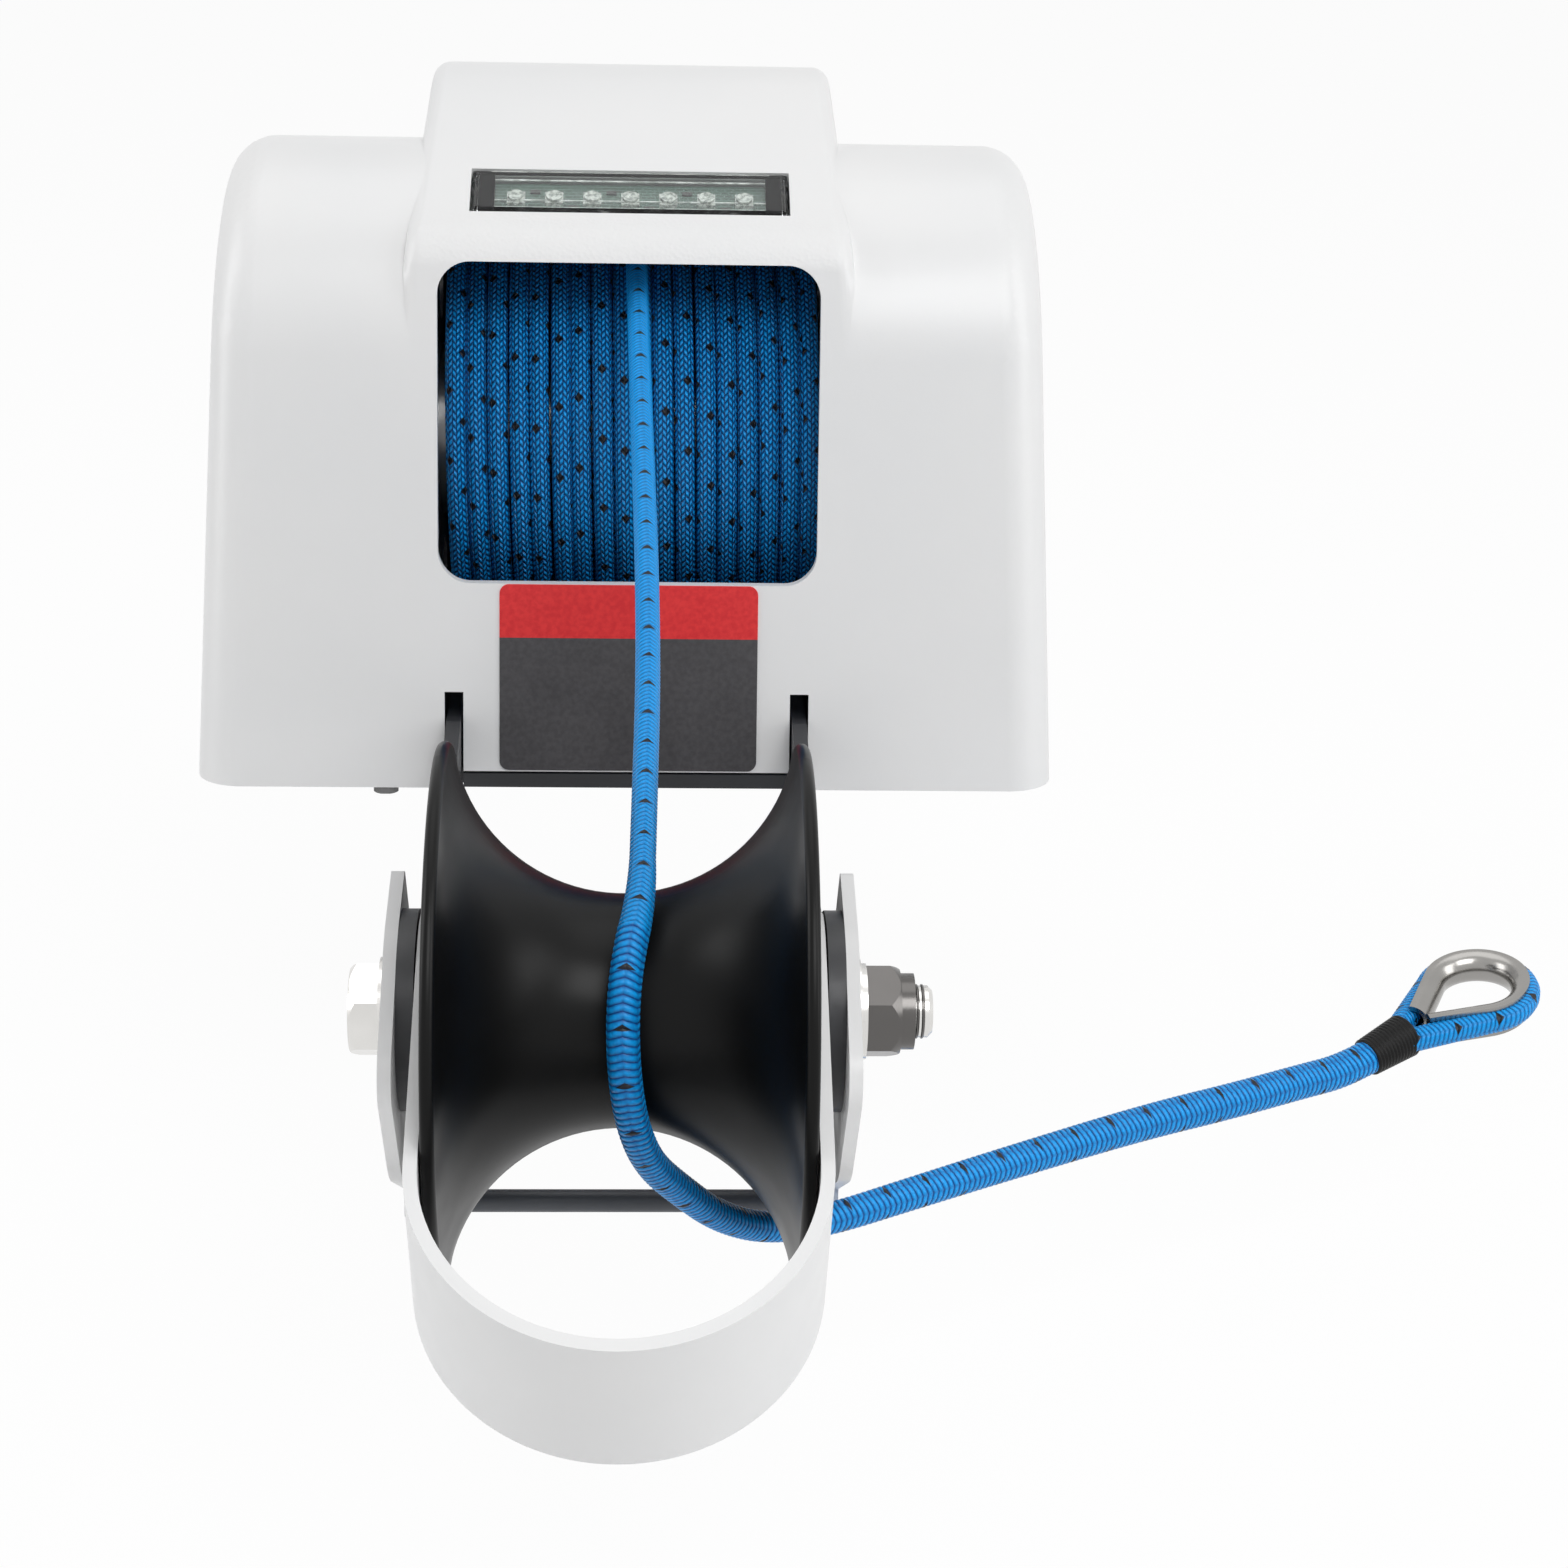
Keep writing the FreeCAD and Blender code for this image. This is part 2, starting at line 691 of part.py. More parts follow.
def axle_bolt():
    """Hexagon bolt through both cheeks, arms and bail legs and the roller."""
    head_face = -cheek_outer_x - left_washer
    end = cheek_outer_x + right_washer + nut_height + bolt_end_past_nut
    shank = rod(axle_radius, head_face, end, axle_y, axle_height)
    tip = [e for e in shank.Edges if abs(e.CenterOfMass.x - end) < 0.01 and e.Length > 1]
    shank = shank.makeChamfer(1.0, tip[:1])
    head = hexagon(hex_across_flats, head_face - bolt_head_height, head_face, axle_y, axle_height)
    crown = Part.makeCone(hex_across_flats / 2 - 0.2, hex_across_flats / 2 + 6, 6.2,
                          V(head_face - bolt_head_height, axle_y, axle_height), X_AXIS)
    tail = rod(hex_across_flats, head_face - bolt_head_height + 6.2, head_face, axle_y, axle_height)
    head = head.common(crown.fuse(tail))
    return shank.fuse(head).removeSplitter()


def axle_nut():
    """Locking nut: a hexagon with a round collar."""
    low = cheek_outer_x + right_washer
    high = low + nut_height
    body = hexagon(hex_across_flats, low, high - nut_collar_height, axle_y, axle_height)
    cap = Part.makeCone(hex_across_flats / 2 + 5, hex_across_flats / 2 - 0.1,
                        nut_height - nut_collar_height, V(low, axle_y, axle_height), X_AXIS)
    body = body.common(cap)
    collar = rod(hex_across_flats / 2 - 1.0, high - nut_collar_height, high, axle_y, axle_height)
    nut = body.fuse(collar)
    return nut.cut(rod(axle_radius, low, high, axle_y, axle_height)).removeSplitter()


def axle_washers():
    low = cheek_outer_x
    return Part.makeCompound([
        ring(axle_washer_radius, axle_radius, -low - left_washer, -low, axle_y, axle_height),
        ring(axle_washer_radius, axle_radius, low, low + right_washer / 2, axle_y, axle_height),
        ring(axle_washer_radius - 1.0, axle_radius, low + right_washer / 2, low + right_washer,
             axle_y, axle_height),
    ])


def bearing_plate(side):
    """Plate that carries the drum shaft, with a foot on the base plate."""
    outline = [
        (back(15), plate_thickness),
        (back(30), drum_height + 18),
        (drum_y - 22, drum_height + 52),
        (drum_y + 44, drum_height + 52),
        (back(housing_depth - bearing_rear_room), drum_height + 24),
        (back(housing_depth - bearing_rear_room), plate_thickness),
    ]
    radii = [0, 16, 20, 20, 14, 0]
    low, high = sorted((side * bearing_inner_x, side * bearing_outer_x))
    plate = slab(outline, radii, low, high)
    low, high = sorted((side * bearing_inner_x, side * (bearing_outer_x + foot_width)))
    plate = plate.fuse(block(low, high, back(foot_start), back(foot_start + foot_length),
                             plate_thickness, 2 * plate_thickness))
    across = (-housing_width, housing_width)
    plate = plate.cut(rod(drum_shaft_radius + bearing_bush_wall, *across, drum_y, drum_height))
    for place in foot_screw_places():
        plate = plate.cut(Part.makeCylinder(foot_screw_radius, 30, place))
    for y, z in tie_places():
        plate = plate.cut(rod(tie_tenon, *across, y, z))
    if side < 0:
        y, z = idler_centre()
        plate = plate.cut(rod(idler_pin_radius, *across, y, z))
    return plate.removeSplitter()


def tie_places():
    """Centres of the three tie bars, outside the drum's flanges."""
    return [(back(y), z) for y, z in (front_tie, rear_low_tie, rear_top_tie)]


def plate_ties():
    """Tie bars shouldered between the bearing plates, with their ends in the plates' holes."""
    bars = []
    for y, z in tie_places():
        bar = rod(tie_radius, -bearing_inner_x, bearing_inner_x, y, z)
        ends = rod(tie_tenon, -bearing_outer_x, bearing_outer_x, y, z)
        bars.append(bar.fuse(ends).removeSplitter())
    return Part.makeCompound(bars)


def drum_bush(side):
    """Flanged bush in a bearing plate."""
    inner = drum_shaft_radius + running_gap
    outer = drum_shaft_radius + bearing_bush_wall
    low, high = sorted((side * bearing_inner_x, side * bearing_outer_x))
    bush = ring(outer, inner, low, high, drum_y, drum_height)
    low, high = sorted((side * bearing_outer_x, side * (bearing_outer_x + bearing_bush_rim)))
    return bush.fuse(ring(bearing_bush_flange, inner, low, high, drum_y, drum_height)).removeSplitter()


def drum_shaft():
    """Shaft through the drum, the bearing plates and the drum gear."""
    left = -(gear_x_low + drum_gear_width + 6)
    right = bearing_outer_x + 6
    return rod(drum_shaft_radius, left, right, drum_y, drum_height)


def shaft_clips():
    """Retaining clips outside the drum gear and the right bearing plate."""
    left = -(gear_x_low + drum_gear_width + 0.2)
    right = bearing_outer_x + bearing_bush_rim + side_gap
    clips = []
    for low, high in ((left - 1.2, left), (right, right + 1.2)):
        clip = ring(drum_shaft_radius + 3, drum_shaft_radius, low, high, drum_y, drum_height)
        gap = block(low - 1, high + 1, drum_y - 2.5, drum_y + 2.5, drum_height, drum_height + 20)
        clips.append(clip.cut(gap))
    return Part.makeCompound(clips)


def drum_core():
    return ring(core_radius, drum_shaft_radius, -winding_width / 2, winding_width / 2, drum_y, drum_height)


def drum_flange(side):
    """Disc at one end of the drum with six lightening holes."""
    low, high = sorted((side * winding_width / 2, side * (winding_width / 2 + flange_thickness)))
    disc = ring(flange_radius, drum_shaft_radius, low, high, drum_y, drum_height)
    for i in range(6):
        turn = math.radians(60 * i + 30)
        y = drum_y + 42 * math.cos(turn)
        z = drum_height + 42 * math.sin(turn)
        disc = disc.cut(rod(9.0, low, high, y, z))
    return disc


def rope_winding():
    """Outer shape of the rope wound on the drum."""
    return ring(winding_radius, core_radius, -winding_width / 2, winding_width / 2, drum_y, drum_height)


def idler_centre():
    """Place of the idler, in mesh with the drum gear and with the motor pinion."""
    to_drum = drum_module * (drum_teeth + idler_pinion_teeth) / 2
    to_motor = idler_module * (idler_teeth + motor_pinion_teeth) / 2
    dy = motor_y - drum_y
    dz = motor_height - drum_height
    apart = math.hypot(dy, dz)
    along = (to_drum ** 2 - to_motor ** 2 + apart ** 2) / (2 * apart)
    across = math.sqrt(to_drum ** 2 - along ** 2)
    uy = dy / apart
    uz = dz / apart
    return (drum_y + along * uy - across * uz, drum_height + along * uz + across * uy)


def gear(module, teeth, phase, x_low, x_high, y, z, addendum, slack):
    """Spur gear with involute flanks; one tooth is centred at the phase angle, in radians."""
    pitch = module * teeth / 2
    base = pitch * math.cos(math.radians(20))
    tip = pitch + addendum * module
    root = pitch - 1.25 * module

    def involute(radius):
        if radius <= base:
            return 0.0
        spread = math.acos(base / radius)
        return math.tan(spread) - spread

    half_tooth = math.pi / (2 * teeth) - slack / (2 * pitch)
    flank = [max(base, root + 0.05), (pitch + max(base, root)) / 2, pitch, (pitch + tip) / 2, tip]
    points = []
    for i in range(teeth):
        centre = phase + 2 * math.pi * i / teeth
        places = []
        lift = half_tooth + involute(pitch)
        places.append((root, lift - involute(flank[0]) + 0.15 * slack / pitch))
        for radius in flank:
            places.append((radius, lift - involute(radius)))
        for radius, angle in places:
            points.append((radius, centre - angle))
        for radius, angle in reversed(places):
            points.append((radius, centre + angle))
    corners = [V(x_low, y + r * math.cos(a), z + r * math.sin(a)) for r, a in points]
    corners.append(corners[0])
    return Part.Face(Part.makePolygon(corners)).extrude(V(x_high - x_low, 0, 0))


def angle_between(start, end):
    return math.atan2(end[1] - start[1], end[0] - start[0])


def drum_gear():
    """Large spur gear keyed on the drum shaft."""
    aim = angle_between((drum_y, drum_height), idler_centre())
    low = -(gear_x_low + drum_gear_width)
    wheel = gear(drum_module, drum_teeth, aim, low, -gear_x_low, drum_y, drum_height, 0.9, backlash)
    for i in range(5):
        turn = math.radians(72 * i)
        y = drum_y + 25 * math.cos(turn)
        z = drum_height + 25 * math.sin(turn)
        wheel = wheel.cut(rod(7.0, low, -gear_x_low, y, z))
    return wheel.cut(rod(drum_shaft_radius, low, -gear_x_low, drum_y, drum_height))


def idler_pinion():
    """Small pinion with a long sleeve, turning on the idler pin."""
    y, z = idler_centre()
    aim = angle_between((y, z), (drum_y, drum_height))
    low = -(gear_x_low + drum_gear_width)
    pinion = gear(drum_module, idler_pinion_teeth, aim + math.pi / idler_pinion_teeth, low, -gear_x_low,
                  y, z, 0.9, backlash)
    sleeve = rod(idler_sleeve_radius, -(idler_gear_x + idler_gear_width), low, y, z)
    pinion = pinion.fuse(sleeve).removeSplitter()
    return pinion.cut(rod(idler_pin_radius + running_gap, -housing_width, 0, y, z))


def idler_gear():
    """Large idler wheel fixed on the pinion's sleeve."""
    y, z = idler_centre()
    aim = angle_between((y, z), (motor_y, motor_height))
    low = -(idler_gear_x + idler_gear_width)
    wheel = gear(idler_module, idler_teeth, aim, low, -idler_gear_x, y, z, 0.8, backlash)
    for i in range(5):
        turn = math.radians(72 * i + 20)
        wheel = wheel.cut(rod(7.0, low, -idler_gear_x, y + 20 * math.cos(turn), z + 20 * math.sin(turn)))
    return wheel.cut(rod(idler_sleeve_radius, low, -idler_gear_x, y, z))


def idler_pin():
    """Fixed pin for the idler, riveted in the left bearing plate, with a clip at its end."""
    y, z = idler_centre()
    end = -(idler_gear_x + idler_gear_width + 2.6)
    pin = rod(idler_pin_radius, end, -bearing_inner_x, y, z)
    shoulder = rod(idler_pin_radius + 2, -(gear_x_low - side_gap), -bearing_outer_x, y, z)
    clip = rod(idler_pin_radius + 2, end + 0.6, end + 1.8, y, z)
    return pin.fuse([shoulder, clip]).removeSplitter()


def motor_can():
    """Cup of the motor, its closed end against the left bearing plate."""
    low = -(bearing_outer_x + motor_can_length)
    can = rod(motor_radius, low, -bearing_outer_x, motor_y, motor_height)
    return can.cut(rod(motor_radius - motor_wall, low, -bearing_outer_x - 2.5, motor_y, motor_height))


def motor_end_cap():
    """Cap with the shaft's outer bearing, spigoted into the can."""
    face = -(bearing_outer_x + motor_can_length)
    cap = rod(motor_radius, face - motor_cap_length + 1.5, face, motor_y, motor_height)
    nose = rod(9.0, face - motor_cap_length, face, motor_y, motor_height)
    spigot = rod(motor_radius - motor_wall, face, face + 2, motor_y, motor_height)
    cap = cap.fuse([nose, spigot])
    return cap.cut(rod(motor_shaft_radius + running_gap, face - 20, face + 20, motor_y, motor_height))


def motor_magnets():
    """Two curved magnets inside the can."""
    low = -(bearing_outer_x + motor_can_length - 3)
    high = -(bearing_outer_x + 4)
    outer = motor_radius - motor_wall
    sleeve = ring(outer, outer - magnet_thickness, low, high, motor_y, motor_height)
    gap = block(low, high, motor_y - 40, motor_y + 40, motor_height - 6, motor_height + 6)
    return sleeve.cut(gap)


def motor_armature():
    """Wound armature on the motor shaft."""
    low = -(bearing_outer_x + motor_can_length - 6)
    high = -(bearing_outer_x + 6)
    core = ring(armature_radius, motor_shaft_radius, low, high, motor_y, motor_height)
    for i in range(8):
        turn = math.radians(45 * i)
        y = motor_y + armature_radius * math.cos(turn)
        z = motor_height + armature_radius * math.sin(turn)
        core = core.cut(rod(1.6, low, high, y, z))
    return core


def motor_shaft():
    low = -(idler_gear_x + idler_gear_width + 1)
    return rod(motor_shaft_radius, low, -(bearing_outer_x + 3.2), motor_y, motor_height)


def motor_pinion():
    """Small pinion on the end of the motor shaft."""
    aim = angle_between((motor_y, motor_height), idler_centre())
    low = -(idler_gear_x + idler_gear_width + 0.5)
    phase = aim + math.pi / motor_pinion_teeth
    pinion = gear(idler_module, motor_pinion_teeth, phase, low, -idler_gear_x + 0.5, motor_y, motor_height,
                  0.8, backlash)
    return pinion.cut(rod(motor_shaft_radius, -housing_width, 0, motor_y, motor_height))


def board_corners():
    corners = []
    for dy in (-1, 1):
        for dz in (-1, 1):
            corners.append((drum_y + dy * (board_length / 2 - 6), drum_height + dz * (board_height / 2 - 6)))
    return corners


def control_board():
    low = bearing_outer_x + standoff_length
    board = block(low, low + board_thickness, drum_y - board_length / 2, drum_y + board_length / 2,
                  drum_height - board_height / 2, drum_height + board_height / 2)
    for y, z in board_corners():
        board = board.cut(rod(1.5, low - 1, low + 3, y, z))
    return board


def board_standoffs():
    """Pillars on the right bearing plate with a stud through the board."""
    low = bearing_outer_x
    high = low + standoff_length
    pillars = []
    for y, z in board_corners():
        pillar = rod(standoff_radius, low, high, y, z)
        stud = rod(1.5, high, high + board_thickness + 2.5, y, z)
        pillars.append(pillar.fuse(stud).removeSplitter())
    return Part.makeCompound(pillars)


def relays():
    """Two direction relays and a terminal block on the board."""
    low = bearing_outer_x + standoff_length + board_thickness
    pieces = []
    for y in (drum_y - 17, drum_y + 17):
        relay = block(low, low + relay_depth, y - relay_size / 2, y + relay_size / 2,
                      drum_height - 4, drum_height - 4 + relay_size)
        corners = [e for e in relay.Edges if abs(e.tangentAt(0).x) > 0.9]
        pieces.append(relay.makeFillet(1.5, corners))
    pieces.append(block(low, low + 9, drum_y - 24, drum_y + 24, drum_height - 24, drum_height - 12))
    return Part.makeCompound(pieces)


def led_lens():
    """Clear cover of the light, open below, with bevelled upper edges."""
    half_x = led_slot_width / 2 - 0.4
    half_y = led_slot_height / 2 - 0.4
    lens = block(-half_x, half_x, -half_y, half_y, -lens_thickness + 0.4, 0.4)
    top = [e for e in lens.Edges if all(v.Z > 0.3 for v in e.Vertexes)]
    lens = lens.makeChamfer(1.2, top)
    hollow = block(-half_x + lens_wall, half_x - lens_wall, -half_y + lens_wall, half_y - lens_wall,
                   -lens_thickness, -lens_wall)
    return on_slope(lens.cut(hollow))


def led_board():
    """Circuit board in the open back of the lens."""
    half_x = led_slot_width / 2 - 0.4 - lens_wall - 0.2
    half_y = led_slot_height / 2 - 0.4 - lens_wall - 0.2
    return on_slope(block(-half_x, half_x, -half_y, half_y, -lens_thickness + 0.4, -lens_thickness + 1.8))


def leds():
    """Row of lamps on the board, each a square base with a round lens."""
    lamps = []
    for i in range(led_count):
        x = (i - (led_count - 1) / 2) * led_pitch
        base = block(x - 2.5, x + 2.5, -2.5, 2.5, -lens_thickness + 1.8, -lens_thickness + 2.9)
        dome = Part.makeCylinder(2.2, 0.9, V(x, 0, -lens_thickness + 2.9))
        lamps.append(base.fuse(dome).removeSplitter())
    return on_slope(Part.makeCompound(lamps))


def tube(points, radius):
    """Round tube along straight runs joined by tangent arcs, each as large as its runs allow."""
    edges = []
    last = points[0]
    sharpest = 1e9
    for i in range(1, len(points) - 1):
        corner = points[i]
        to_last = points[i - 1] - corner
        to_next = points[i + 1] - corner
        turn = math.pi - to_last.getAngle(to_next)
        setback = 0.45 * min(to_last.Length, to_next.Length)
        bend = setback / math.tan(turn / 2)
        sharpest = min(sharpest, bend)
        start = corner + V(to_last).normalize() * setback
        end = corner + V(to_next).normalize() * setback
        bisector = (V(to_last).normalize() + V(to_next).normalize()).normalize()
        middle = corner + bisector * (bend / math.cos(turn / 2) - bend)
        edges.append(Part.LineSegment(last, start).toShape())
        edges.append(Part.Arc(start, middle, end).toShape())
        last = end
    edges.append(Part.LineSegment(last, points[-1]).toShape())
    path = Part.Wire(edges)
    circle = Part.Wire(Part.makeCircle(radius, points[0], points[1] - points[0]))
    solid = path.makePipeShell([circle], True, True)
    expected = path.Length * math.pi * radius ** 2
    print("tube length %.1f, tightest bend %.1f, volume ratio %.4f"
          % (path.Length, sharpest, solid.Volume / expected))
    return solid


# Route of the rope, as (x, distance behind the cover's front edge, z). It leaves the top of the
# winding, runs down through the window and over the roller, where the splice begins.
rope_route = [
    (1.2, 103.0, 145.7),
    (1.2, 93.6, 147.5),
    (1.2, 79.6, 147.3),
    (1.4, 66.6, 144.4),
    (3.6, -18.0, 107.4),
    (5.8, -98.0, 72.6),
    (4.2, -179.4, 37.7),
    (2.6, -186.9, 32.7),
]
splice_route = [
    (2.6, -186.9, 32.7),
    (1.0, -194.4, 27.7),
    (0.2, -201.0, 15.6),
    (1.0, -202.0, 2.0),
    (3.0, -198.2, -10.6),
    (6.6, -190.2, -22.6),
    (13.2, -180.0, -33.6),
    (22.2, -167.8, -46.8),
    (34.0, -154.6, -57.0),
    (49.0, -146.4, -59.2),
    (70.0, -132.6, -59.1),
    (96.0, -115.3, -59.2),
    (134.0, -91.3, -59.1),
    (162.0, -76.4, -59.2),
    (181.0, -65.0, -59.3),
    (195.5, -57.0, -59.3),
    (204.8, -51.2, -56.6),
]


def route(points):
    return [V(x, back(y), z) for x, y, z in points]


def rope_free():
    return tube(route(rope_route), rope_radius)


def rope_splice():
    return tube(route(splice_route), splice_radius)


def place_eye(shape):
    """Move a shape built along +X from the origin to the end of the splice, in line with it."""
    before, end = route(splice_route)[-2:]
    along = (end - before).normalize()
    shape.rotate(ORIGIN, X_AXIS, eye_roll)
    shape.rotate(ORIGIN, Y_AXIS, -math.degrees(math.asin(along.z)))
    shape.rotate(ORIGIN, Z_AXIS, math.degrees(math.atan2(along.y, along.x)))
    shape.translate(end)
    return shape


def round_the_eye(section, leg_trim):
    """Drop-shaped ring: an XZ section swept round the eye, with straight legs to the throat."""
    path_radius = eye_inner_radius + thimble_wall + eye_rope_radius
    lean = math.asin(path_radius / eye_throat)
    leg = eye_throat * math.cos(lean) - leg_trim
    centre = V(whipping_length + eye_throat, 0, 0)
    section.translate(centre + V(path_radius, 0, 0))
    half_turn = 90 + math.degrees(lean)
    low_end = section.copy()
    low_end.rotate(centre, Z_AXIS, -half_turn)
    high_end = section.copy()
    high_end.rotate(centre, Z_AXIS, half_turn)
    bow = low_end.revolve(centre, Z_AXIS, 2 * half_turn)
    low_leg = low_end.extrude(V(-math.cos(lean), math.sin(lean), 0) * leg)
    high_leg = high_end.extrude(V(-math.cos(lean), -math.sin(lean), 0) * leg)
    return bow.fuse([low_leg, high_leg])


def rope_eye():
    """Rope laid round the thimble, both legs ending in the whipping."""
    section = Part.Face(Part.Wire(Part.makeCircle(eye_rope_radius, ORIGIN, Y_AXIS)))
    loop = round_the_eye(section, 0)
    loop = loop.common(block(whipping_length, 200, -60, 60, -20, 20))
    stem = Part.makeCylinder(eye_rope_radius, whipping_length, ORIGIN, X_AXIS)
    return place_eye(loop.fuse(stem).removeSplitter())


def thimble():
    """Stainless drop-shaped thimble, a round trough that holds the rope of the eye."""
    inner = eye_rope_radius + thimble_gap
    outer = eye_rope_radius + thimble_wall
    inner_z = math.sqrt(inner ** 2 - thimble_lip ** 2)
    outer_z = math.sqrt(outer ** 2 - thimble_lip ** 2)
    edges = [
        Part.Arc(V(thimble_lip, 0, -outer_z), V(-outer, 0, 0), V(thimble_lip, 0, outer_z)).toShape(),
        Part.LineSegment(V(thimble_lip, 0, outer_z), V(thimble_lip, 0, inner_z)).toShape(),
        Part.Arc(V(thimble_lip, 0, inner_z), V(-inner, 0, 0), V(thimble_lip, 0, -inner_z)).toShape(),
        Part.LineSegment(V(thimble_lip, 0, -inner_z), V(thimble_lip, 0, -outer_z)).toShape(),
    ]
    trough = round_the_eye(Part.Face(Part.Wire(edges)), outer + 2)
    return place_eye(trough.removeSplitter())


def whipping():
    """Black binding over the throat of the eye."""
    sleeve = Part.makeCylinder(whipping_radius, whipping_length, ORIGIN, X_AXIS)
    sleeve = sleeve.makeChamfer(1.0, [e for e in sleeve.Edges if e.Closed])
    bore = Part.makeCylinder(eye_rope_radius, whipping_length, ORIGIN, X_AXIS)
    return place_eye(sleeve.cut(bore))


nodes = {
    "housing_cover": housing_cover,
    "cover_screws": cover_screws,
    "rim_bumper": rim_bumper,
    "cable_gland": cable_gland,
    "led_lens": led_lens,
    "led_board": led_board,
    "leds": leds,
    "base_plate": base_plate,
    "plate_screws": plate_screws,
    "arm_left": lambda: davit_arm(-1),
    "arm_right": lambda: davit_arm(1),
    "cheek_left": lambda: davit_cheek(-1),
    "cheek_right": lambda: davit_cheek(1),
    "cross_bar": cross_bar,
    "axle_bolt": axle_bolt,
    "axle_nut": axle_nut,
    "axle_washers": axle_washers,
    "roller": roller,
    "roller_bush": roller_bush,
    "roller_washers": roller_washers,
    "bail": bail,
    "bearing_plate_left": lambda: bearing_plate(-1),
    "bearing_plate_right": lambda: bearing_plate(1),
    "plate_ties": plate_ties,
    "drum_bush_left": lambda: drum_bush(-1),
    "drum_bush_right": lambda: drum_bush(1),
    "drum_shaft": drum_shaft,
    "shaft_clips": shaft_clips,
    "drum_core": drum_core,
    "drum_flange_left": lambda: drum_flange(-1),
    "drum_flange_right": lambda: drum_flange(1),
    "rope_winding": rope_winding,
    "drum_gear": drum_gear,
    "idler_pinion": idler_pinion,
    "idler_gear": idler_gear,
    "idler_pin": idler_pin,
    "motor_can": motor_can,
    "motor_end_cap": motor_end_cap,
    "motor_magnets": motor_magnets,
    "motor_armature": motor_armature,
    "motor_shaft": motor_shaft,
    "motor_pinion": motor_pinion,
    "control_board": control_board,
    "board_standoffs": board_standoffs,
    "relays": relays,
    "rope_free": rope_free,
    "rope_splice": rope_splice,
    "rope_eye": rope_eye,
    "thimble": thimble,
    "whipping": whipping,
}

os.makedirs("parts", exist_ok=True)
for name, make in nodes.items():
    shape = make()
    shape.exportStep("parts/%s.step" % name)
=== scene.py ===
import math

import bmesh
import bpy
from mathutils import Matrix, Vector, noise


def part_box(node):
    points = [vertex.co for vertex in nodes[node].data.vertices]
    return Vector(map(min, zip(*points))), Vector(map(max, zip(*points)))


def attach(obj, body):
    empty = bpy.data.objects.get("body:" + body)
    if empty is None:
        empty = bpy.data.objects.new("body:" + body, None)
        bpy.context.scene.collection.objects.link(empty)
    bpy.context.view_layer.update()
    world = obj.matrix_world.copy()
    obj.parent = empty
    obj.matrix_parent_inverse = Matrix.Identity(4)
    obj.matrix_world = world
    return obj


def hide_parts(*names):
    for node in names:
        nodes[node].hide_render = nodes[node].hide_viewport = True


# An electric anchor windlass: a pale moulded cover over a rope drum, with a davit roller and a
# swinging bail at the bow. X runs along the drum, -Y points forward, Z is up from the deck.
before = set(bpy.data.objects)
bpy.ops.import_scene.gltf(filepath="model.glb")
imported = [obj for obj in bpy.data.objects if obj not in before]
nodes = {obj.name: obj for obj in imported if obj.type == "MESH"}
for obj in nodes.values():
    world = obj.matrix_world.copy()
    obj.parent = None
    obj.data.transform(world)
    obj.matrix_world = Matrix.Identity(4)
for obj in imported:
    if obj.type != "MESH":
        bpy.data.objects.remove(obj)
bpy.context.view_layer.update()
mm = 0.001

# Camera
# It stands about 0.9 m in front of the windlass and looks 19 degrees down on it.
camera_place = Vector((3.66, -928.0, 293.5)) * mm
look_down = math.radians(19.28)
look_right = math.radians(2.77)
lean_left = math.radians(-1.30)
photo_pixels = 1568
focal_pixels = 3161.05
sensor_width = 36.0

forward = Vector((math.sin(look_right) * math.cos(look_down),
                  math.cos(look_right) * math.cos(look_down),
                  -math.sin(look_down)))
level = Vector((math.cos(look_right), -math.sin(look_right), 0))
downward = forward.cross(level)
camera_x = level * math.cos(lean_left) + downward * math.sin(lean_left)
camera_y = level * math.sin(lean_left) - downward * math.cos(lean_left)
turned = Matrix((camera_x, camera_y, -forward)).transposed().to_4x4()
camera_data = bpy.data.cameras.new("camera")
camera_data.sensor_width = sensor_width
camera_data.lens = focal_pixels / photo_pixels * sensor_width
camera = bpy.data.objects.new("camera", camera_data)
camera.matrix_world = Matrix.Translation(camera_place) @ turned
bpy.context.scene.collection.objects.link(camera)
bpy.context.scene.camera = camera

# Rope
# 6 mm braided polyester, blue with black tracer yarns. The yarns of the braid lie in chevrons, and
# the tracer shows as rows of small black ticks. The spliced end is thicker.


def socket(tree, value, target):
    """Set an input of a node to a number or colour, or link it to another node's output."""
    if isinstance(value, bpy.types.NodeSocket):
        tree.links.new(value, target)
    else:
        target.default_value = value


def maths(tree, operation, *values):
    node = tree.nodes.new("ShaderNodeMath")
    node.operation = operation
    for i, value in enumerate(values):
        socket(tree, value, node.inputs[i])
    return node.outputs[0]


def mix(tree, factor, first, second):
    node = tree.nodes.new("ShaderNodeMix")
    node.data_type = "RGBA"
    socket(tree, factor, node.inputs["Factor"])
    socket(tree, first, node.inputs[6])
    socket(tree, second, node.inputs[7])
    return node.outputs[2]


def noise_value(tree, scale, detail=3.0, roughness=0.5, vector=None):
    """Noise on the object's own coordinates; scale is in cells per metre."""
    node = tree.nodes.new("ShaderNodeTexNoise")
    if vector is None:
        vector = tree.nodes.new("ShaderNodeTexCoord").outputs["Object"]
    tree.links.new(vector, node.inputs["Vector"])
    node.inputs["Scale"].default_value = scale
    node.inputs["Detail"].default_value = detail
    node.inputs["Roughness"].default_value = roughness
    return node.outputs[0]


